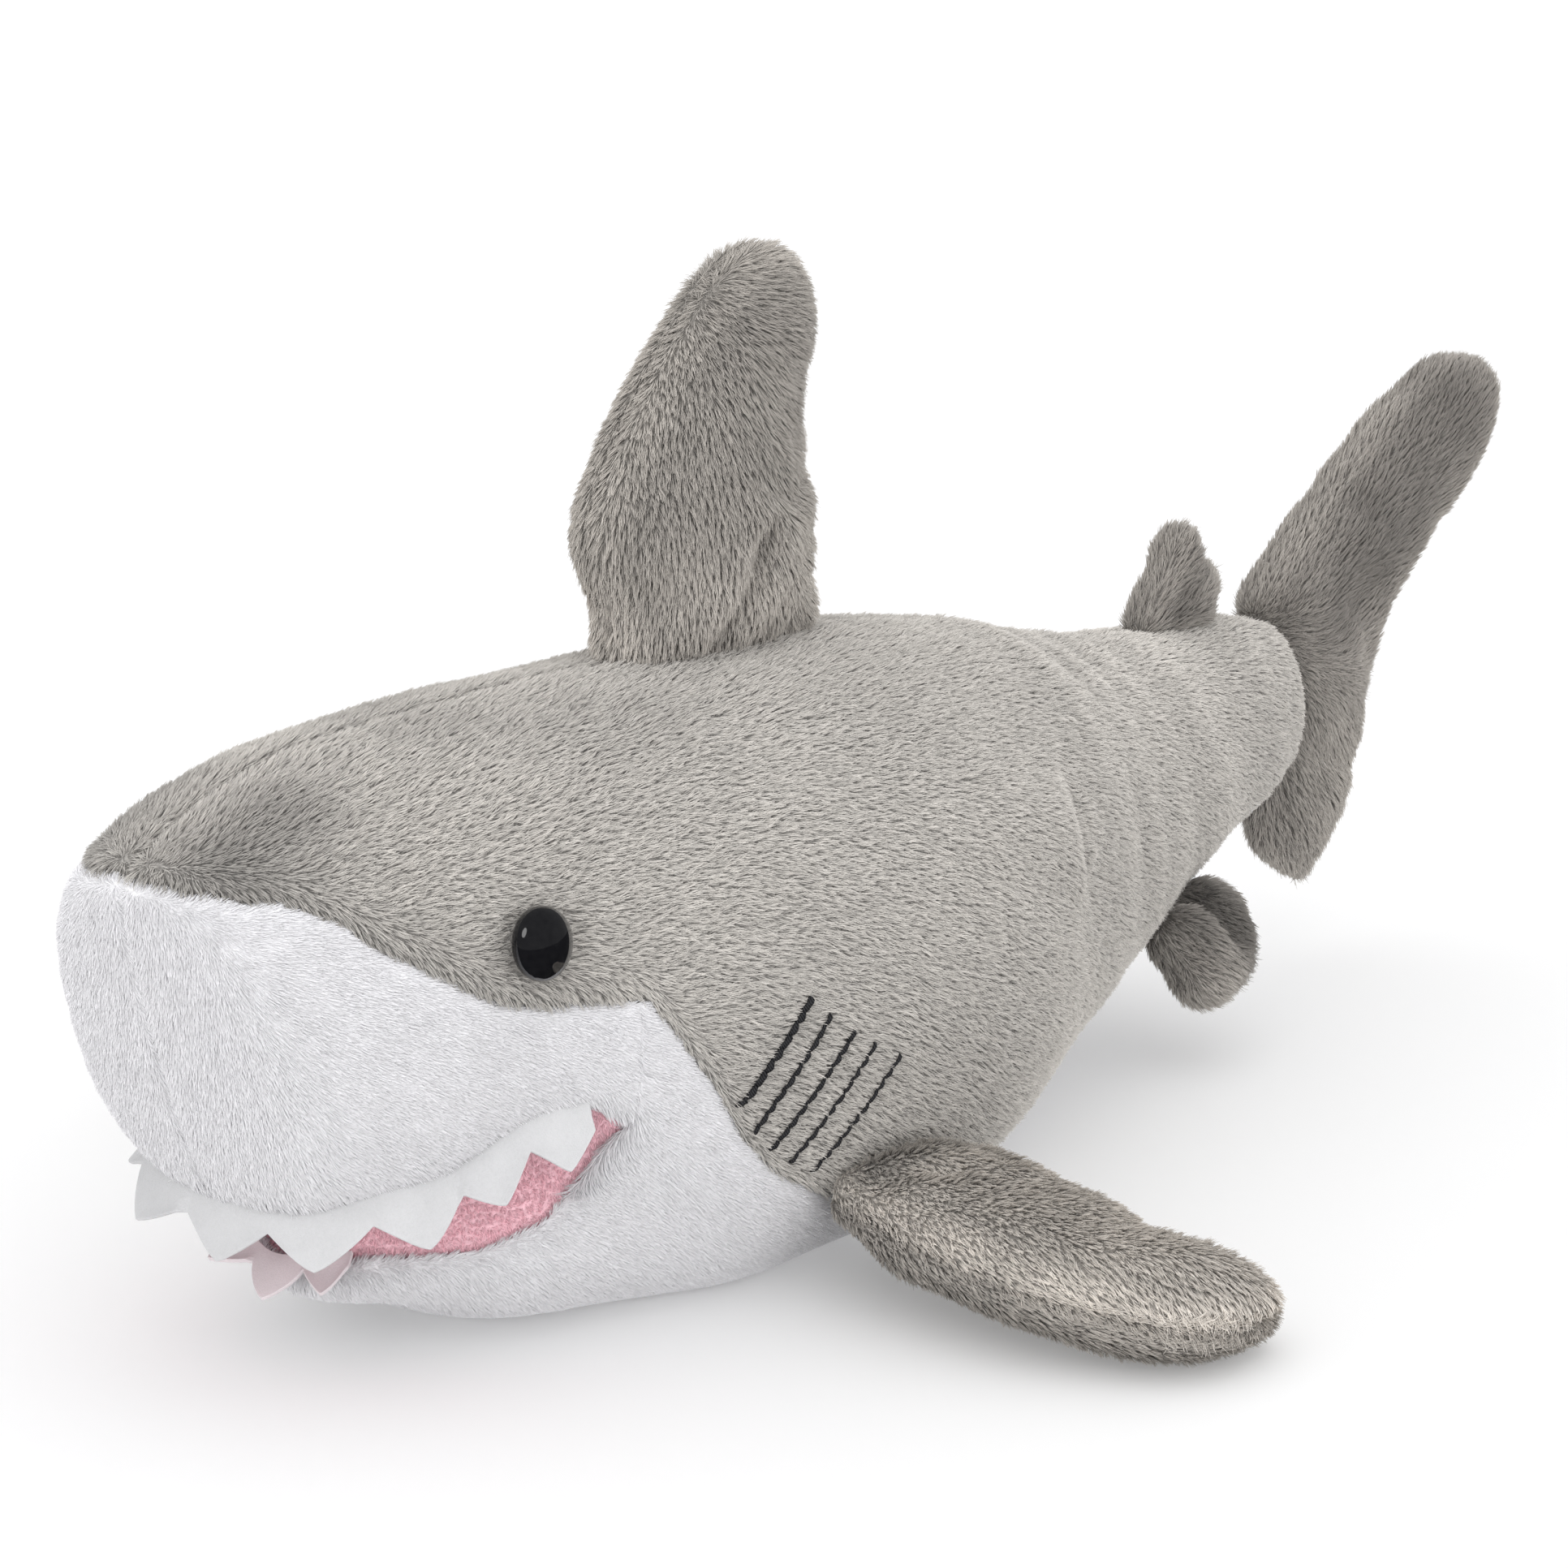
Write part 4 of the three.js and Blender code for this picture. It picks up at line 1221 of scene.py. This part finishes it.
PELVIC = {
    "outline": [(-8, -5), (-12.5, 3), (-16, 10.5), (-13, 16.5), (-5, 19.5), (7.5, 17.5),
                (15.5, 12), (19, 4.5), (12, -5)],
    # A low tone: painted shade on a fin that sits low under the body.
    "middle": (1, 8), "half": 7, "cap": 3, "gather": 0.08, "tone": 0.58,
    "nap": ((0.2, 1), (0.5, 0.8)),
    "streaks": [((6, 2), (5, 12), 5, 0.3), ((-12, 2), (-8, 16), 6, -0.35)],
    "folds": [((3, -1), (1.5, 10), 1, 2.6, 2.6), ((-2, 2), (4, 9), -1, 0.8, 2.6)],
}


def closed_spline(outline, count):
    """Evenly numbered points round a smooth closed curve through the outline."""
    corners = np.array(outline, float)
    n = len(corners)
    t = np.linspace(0, n, count, endpoint=False)
    i = t.astype(int)
    u = (t - i)[:, None]
    p0, p1, p2, p3 = (corners[(i + k) % n] for k in (-1, 0, 1, 2))
    return 0.5 * (2 * p1 + (p2 - p0) * u + (2 * p0 - 5 * p1 + 4 * p2 - p3) * u ** 2
                  + (3 * p1 - p0 - 3 * p2 + p3) * u ** 3)


def fin_edge(spec, count):
    """The sewn edge of a fin: its outline, less what the pile adds."""
    edge = closed_spline(spec["outline"], count)
    along = np.roll(edge, -1, axis=0) - np.roll(edge, 1, axis=0)
    return edge - PILE_MARGIN * unit(np.stack([-along[:, 1], along[:, 0]], -1))


def pillow(name, spec):
    """A closed pillow over a fin's outline: local X along the root, Z away, Y through."""
    columns, rings = 96, 16
    edge = fin_edge(spec, columns)
    centre = np.array(spec["middle"], float)
    shares = np.sin(np.linspace(0.06, 1, rings) * math.pi / 2)
    flat = np.concatenate([centre + share * (edge - centre) for share in shares])
    reach = to_polyline(flat, edge, closed=True)
    widest = spec["half"] * 1.9
    dome = np.sqrt(1 - (1 - np.clip(reach / widest, 0, 1)) ** 2.2)
    rise = spec["half"] * dome * PILLOW_FILL
    near = np.stack([flat[:, 0], rise, flat[:, 1]], -1)
    far = (near * (1, -1, 1)).reshape(rings, columns, 3)[:-1][::-1].reshape(-1, 3)
    return mesh_object(name, np.concatenate([near, far]), tube_grid(2 * rings - 1, columns))


def fold_along(points, folds):
    """How far each point is pressed in by the fin's folds."""
    flat = points[:, (0, 2)]
    press = np.zeros(len(points))
    for start, end, side, depth, width in folds:
        gap = to_polyline(flat, np.array([start, end], float))
        pressed = np.ones(len(points)) if side == 0 else (np.sign(points[:, 1]) == side)
        press += pressed * (depth * np.exp(-((gap / width) ** 2)) - 0.35 * depth
                             * np.exp(-(((gap - 2.2 * width) / width) ** 2)))
    return press


def fin_shell(name, spec):
    """A fin's pillow, padded out and drawn in along its seam."""
    shell = pillow(name, spec)
    remesh(shell, 2)
    relax(shell, 2)
    before = points_of(shell)
    edge = fin_edge(spec, 160)
    flat = before[:, (0, 2)]
    seam = np.clip(1 - to_polyline(flat, edge, closed=True) / 4, 0, 1)
    pad_out(shell, 6, spec["cap"], seam, spec["gather"])
    points = before + (points_of(shell) - before) * (OUTLINE_GIVE, 1, OUTLINE_GIVE)
    points[:, 1] *= spec["half"] * 0.98 / np.abs(points[:, 1]).max()
    move_points(shell, points)
    halves = shell.data.attributes.new("half", "FLOAT", "POINT")
    halves.data.foreach_set("value", before[:, 1])
    subdivide(shell)
    relax(shell, 1)
    points = points_of(shell)
    press = fold_along(points, spec["folds"]) - 0.4 * ripple(points, 22, len(name))
    move_points(shell, points - normals_of(shell) * press[:, None])
    return shell


def make_fin(name, node, spec, root, along, away, joint_body, words, mirror=1):
    """Builds a fin in its local frame, cuts it into two panels and stands it on the body."""
    shell = fin_shell(name, spec)
    values = np.empty(len(shell.data.vertices))
    shell.data.attributes["half"].data.foreach_get("value", values)
    tree = tree_of(points_of(shell))

    def seam(points):
        found = [tree.find_n(p, 3) for p in points]
        weights = np.array([[1 / (hit[2] + 1e-4) for hit in hits] for hits in found])
        read = np.array([[values[hit[1]] for hit in hits] for hits in found])
        return (weights * read).sum(1) / weights.sum(1)

    near, far = words
    panels = panels_of(shell, [seam], lambda p: np.where(seam(p) > 0, near, far))
    bpy.data.objects.remove(shell)
    along, away = unit(along), unit(away)
    across = np.cross(away, along)
    frame_axes = np.stack([along, across, away])
    start, end = root - away * BEND[0], root + away * BEND[1]
    flip = np.array((mirror, 1, 1))
    for word, (points, faces) in panels.items():
        placed = (points @ frame_axes + root) * flip
        if mirror < 0:
            faces = [face[::-1] for face in faces]
        piece = mesh_object(f"{name}_cloth_{word}", placed, faces)
        store(piece, "pile", fin_pile_length(points, spec))
        store(piece, "comb", (fin_nap(points, spec) @ frame_axes) * flip)
        store(piece, "tone", fin_tone_light_and_shade(points, spec))
        turn_in_edges(piece, 1.7, 2.8)
        replaced = [f"{node}_panel_{word}"] + ([f"{node}_stuffing"] if word == near else [])
        finish_panel(piece, "fin_plush", replaced, (joint_body, start * flip, end * flip))


def fin_pile_length(points, spec):
    """No pile where the fin is sewn into the body."""
    bare_from, bare_to = spec.get("body_end", (-200, 200))
    inside = (points[:, 0] > bare_from) & (points[:, 0] < bare_to)
    return np.where(inside, smoothstep(-5, -1, points[:, 2]), 1)


def fin_nap(points, spec):
    """The way a fin's pile lies, turning from one direction at its front to another behind."""
    front, rear = np.array(spec["nap"], float)
    turn = smoothstep(-12, 30, points[:, 0] + 0.35 * (points[:, 2] - 30))[:, None]
    nap = front + (rear - front) * turn
    return np.stack([nap[:, 0], np.zeros(len(points)), nap[:, 1]], -1)


def fin_tone_light_and_shade(points, spec):
    """The fin's tone, which paints in how much light falls on it, a paler edge strip of painted
    light with a darker line of painted shade behind it, painted shade underneath, a patchy middle
    and streaks of painted shade and painted light.
    """
    flat = points[:, (0, 2)]
    edge = to_polyline(flat, fin_edge(spec, 120), closed=True)
    # The fin's tone paints in how much light falls on it; the strip nearest the edge is painted
    # light.
    tone = spec["tone"] * (1.14 - 0.18 * smoothstep(3, 7, edge)) * (1 + 0.06 * ripple(points, 22, 9))
    # A darker line of painted shade behind the paler edge.
    tone *= 1 - 0.08 * np.exp(-(((edge - 5.5) / 1.2) ** 2))
    # Painted shade on the fin's lower side.
    tone *= np.where(points[:, 1] > 0, 1, spec.get("under", 1))
    # Streaks of painted shade, and of painted light where the depth is below 0.
    for start, end, reach, depth in spec["streaks"]:
        gap = to_polyline(flat, np.array([start, end], float))
        tone *= 1 - depth * (1 - smoothstep(0.4 * reach, 1.4 * reach, gap))
    return tone


def flank_axes(turn, rise, fall):
    """The directions of a fin on the left flank: along its root and away from it."""
    along = unit([-turn, 1, rise])
    down = np.array([1, turn, -fall])
    return along, unit(down - along * (down @ along))


def make_fins():
    """All seven fins, each with its root, its axes and the words for its two panels."""
    make_fin("dorsal_fin", "dorsal_fin", DORSAL, JOINT_AT["dorsal_fin_lean"],
             (0, 1, 0), (0, 0, 1), "dorsal_fin", ("right", "left"))
    make_fin("second_dorsal_fin", "second_dorsal_fin", SECOND_DORSAL,
             JOINT_AT["second_dorsal_fin_lean"], (0, 1, -0.08), (0, 0.08, 1),
             "second_dorsal_fin", ("right", "left"))
    yaw = math.radians(15)  # the tail rests swung to the left
    make_fin("tail_fin", "tail_fin", TAIL, JOINT_AT["tail_swing"], (0, 0, 1),
             (math.sin(yaw), math.cos(yaw), 0), "tail_fin", ("left", "right"))
    pectoral = flank_axes(-0.07, -0.12, 0.1)
    pelvic = flank_axes(0.22, 0.3, 0.9)
    for word, side in SIDES:
        flip = np.array((side, 1, 1))
        make_fin(f"pectoral_fin_{word}", f"pectoral_{word}", PECTORAL,
                 JOINT_AT[f"pectoral_{word}_flap"] * flip, *pectoral,
                 f"pectoral_fin_{word}", ("top", "bottom"), mirror=side)
        make_fin(f"pelvic_fin_{word}", f"pelvic_{word}", PELVIC,
                 JOINT_AT[f"pelvic_{word}_flap"] * flip, *pelvic,
                 f"pelvic_fin_{word}", ("top", "bottom"), mirror=side)


# ---------------------------------------------------------------- studio


# Lamps: name, place, what each points at, size, power, and whether the eyes mirror it.
LAMPS = [
    ("overhead", (0.15, 0.35, 1.5), (0, 0.05, 0.05), 1.8, 11, False),
    ("side_fill", (1.3, -0.2, 0.12), (0, 0.0, 0.04), 1.0, 7, False),
    ("front_fill", (0.3, -1.4, 0.12), (0, -0.05, 0.03), 1.0, 7.5, False),
    ("window", (0.3, -0.8, 0.8), (0, -0.09, 0.07), 0.5, 2, True),
]
SKY = 1.16  # the brightness of the surroundings
FLOOR_REACH = 6000


def soft_lights(unlit):
    """Round soft lights that leave out the objects in the collection unlit."""
    for name, place, target, size, power, mirrored in LAMPS:
        lamp = bpy.data.lights.new(name, "AREA")
        lamp.shape = "DISK"
        lamp.size = size
        lamp.energy = power
        light = bpy.data.objects.new(name, lamp)
        light.location = place
        light.visible_glossy = mirrored
        light.light_linking.receiver_collection = unlit
        light.rotation_euler = (Vector(place) - Vector(target)).to_track_quat("Z", "Y").to_euler()
        bpy.context.scene.collection.objects.link(light)


def ray_is(tree, kind):
    return put(tree, "ShaderNodeLightPath").outputs[f"Is {kind} Ray"]


def floor_material():
    """Pale paper with a faint glow: less pale to the camera than to the toy, dark in mirrors."""
    material, tree, shader = new_material("floor_paper")
    grain = noise(tree, object_place(tree), 30, 3)
    colour = ramp(tree, grain, greys((0.3, 0.93), (0.7, 0.95)))
    mirrored = ray_is(tree, "Glossy")
    colour = mixed(tree, mirrored, colour, (0.02, 0.02, 0.02))
    colour = mixed(tree, ray_is(tree, "Camera"), colour, (0.79, 0.79, 0.795))
    tree.links.new(colour, shader.inputs["Base Color"])
    glow = maths(tree, "MULTIPLY", maths(tree, "SUBTRACT", 1.0, mirrored), 0.2)
    shader.inputs["Emission Color"].default_value = (1, 1, 1, 1)
    tree.links.new(glow, shader.inputs["Emission Strength"])
    shader.inputs["Roughness"].default_value = 0.9
    return material


def make_floor():
    reach = FLOOR_REACH
    corners = [(-reach, -reach, 0), (reach, -reach, 0), (reach, reach, 0), (-reach, reach, 0)]
    floor = mesh_object("floor", corners, [(0, 1, 2, 3)])
    floor.data.materials.append(floor_material())
    return floor


def make_sky():
    """An even white sky, much dimmer in mirrors."""
    world = bpy.data.worlds.new("studio")
    world.use_nodes = True
    tree = world.node_tree
    sky = tree.nodes["Background"]
    sky.inputs["Color"].default_value = (1, 1, 1, 1)
    tree.links.new(times_plus(tree, ray_is(tree, "Glossy"), -1.0, SKY), sky.inputs["Strength"])
    bpy.context.scene.world = world


def make_studio():
    """Only the sky lights the floor, so that the toy's shadow on it stays soft."""
    floor = make_floor()
    make_sky()
    unlit = bpy.data.collections.new("lit_by_the_sky_only")
    unlit.objects.link(floor)
    unlit.collection_objects[0].light_linking.link_state = "EXCLUDE"
    soft_lights(unlit)
    bpy.context.scene.view_settings.view_transform = "Standard"


def make_camera():
    """At the height and side the toy is seen from, to the left of its nose."""
    lens = bpy.data.cameras.new("camera")
    lens.sensor_width = 36
    lens.lens = 80.3
    camera = bpy.data.objects.new("camera", lens)
    target = Vector((-0.057, 0.084, 0.050))
    azimuth, elevation, distance = math.radians(40.3), math.radians(14.1), 0.743
    back = Vector((math.sin(azimuth) * math.cos(elevation),
                   -math.cos(azimuth) * math.cos(elevation), math.sin(elevation)))
    camera.location = target + back * distance
    camera.rotation_euler = back.to_track_quat("Z", "Y").to_euler()
    bpy.context.scene.collection.objects.link(camera)
    bpy.context.scene.camera = camera


make_body()
make_eyes()
make_gills()
make_teeth()
make_fins()
grow_all_piles()
make_studio()
make_camera()
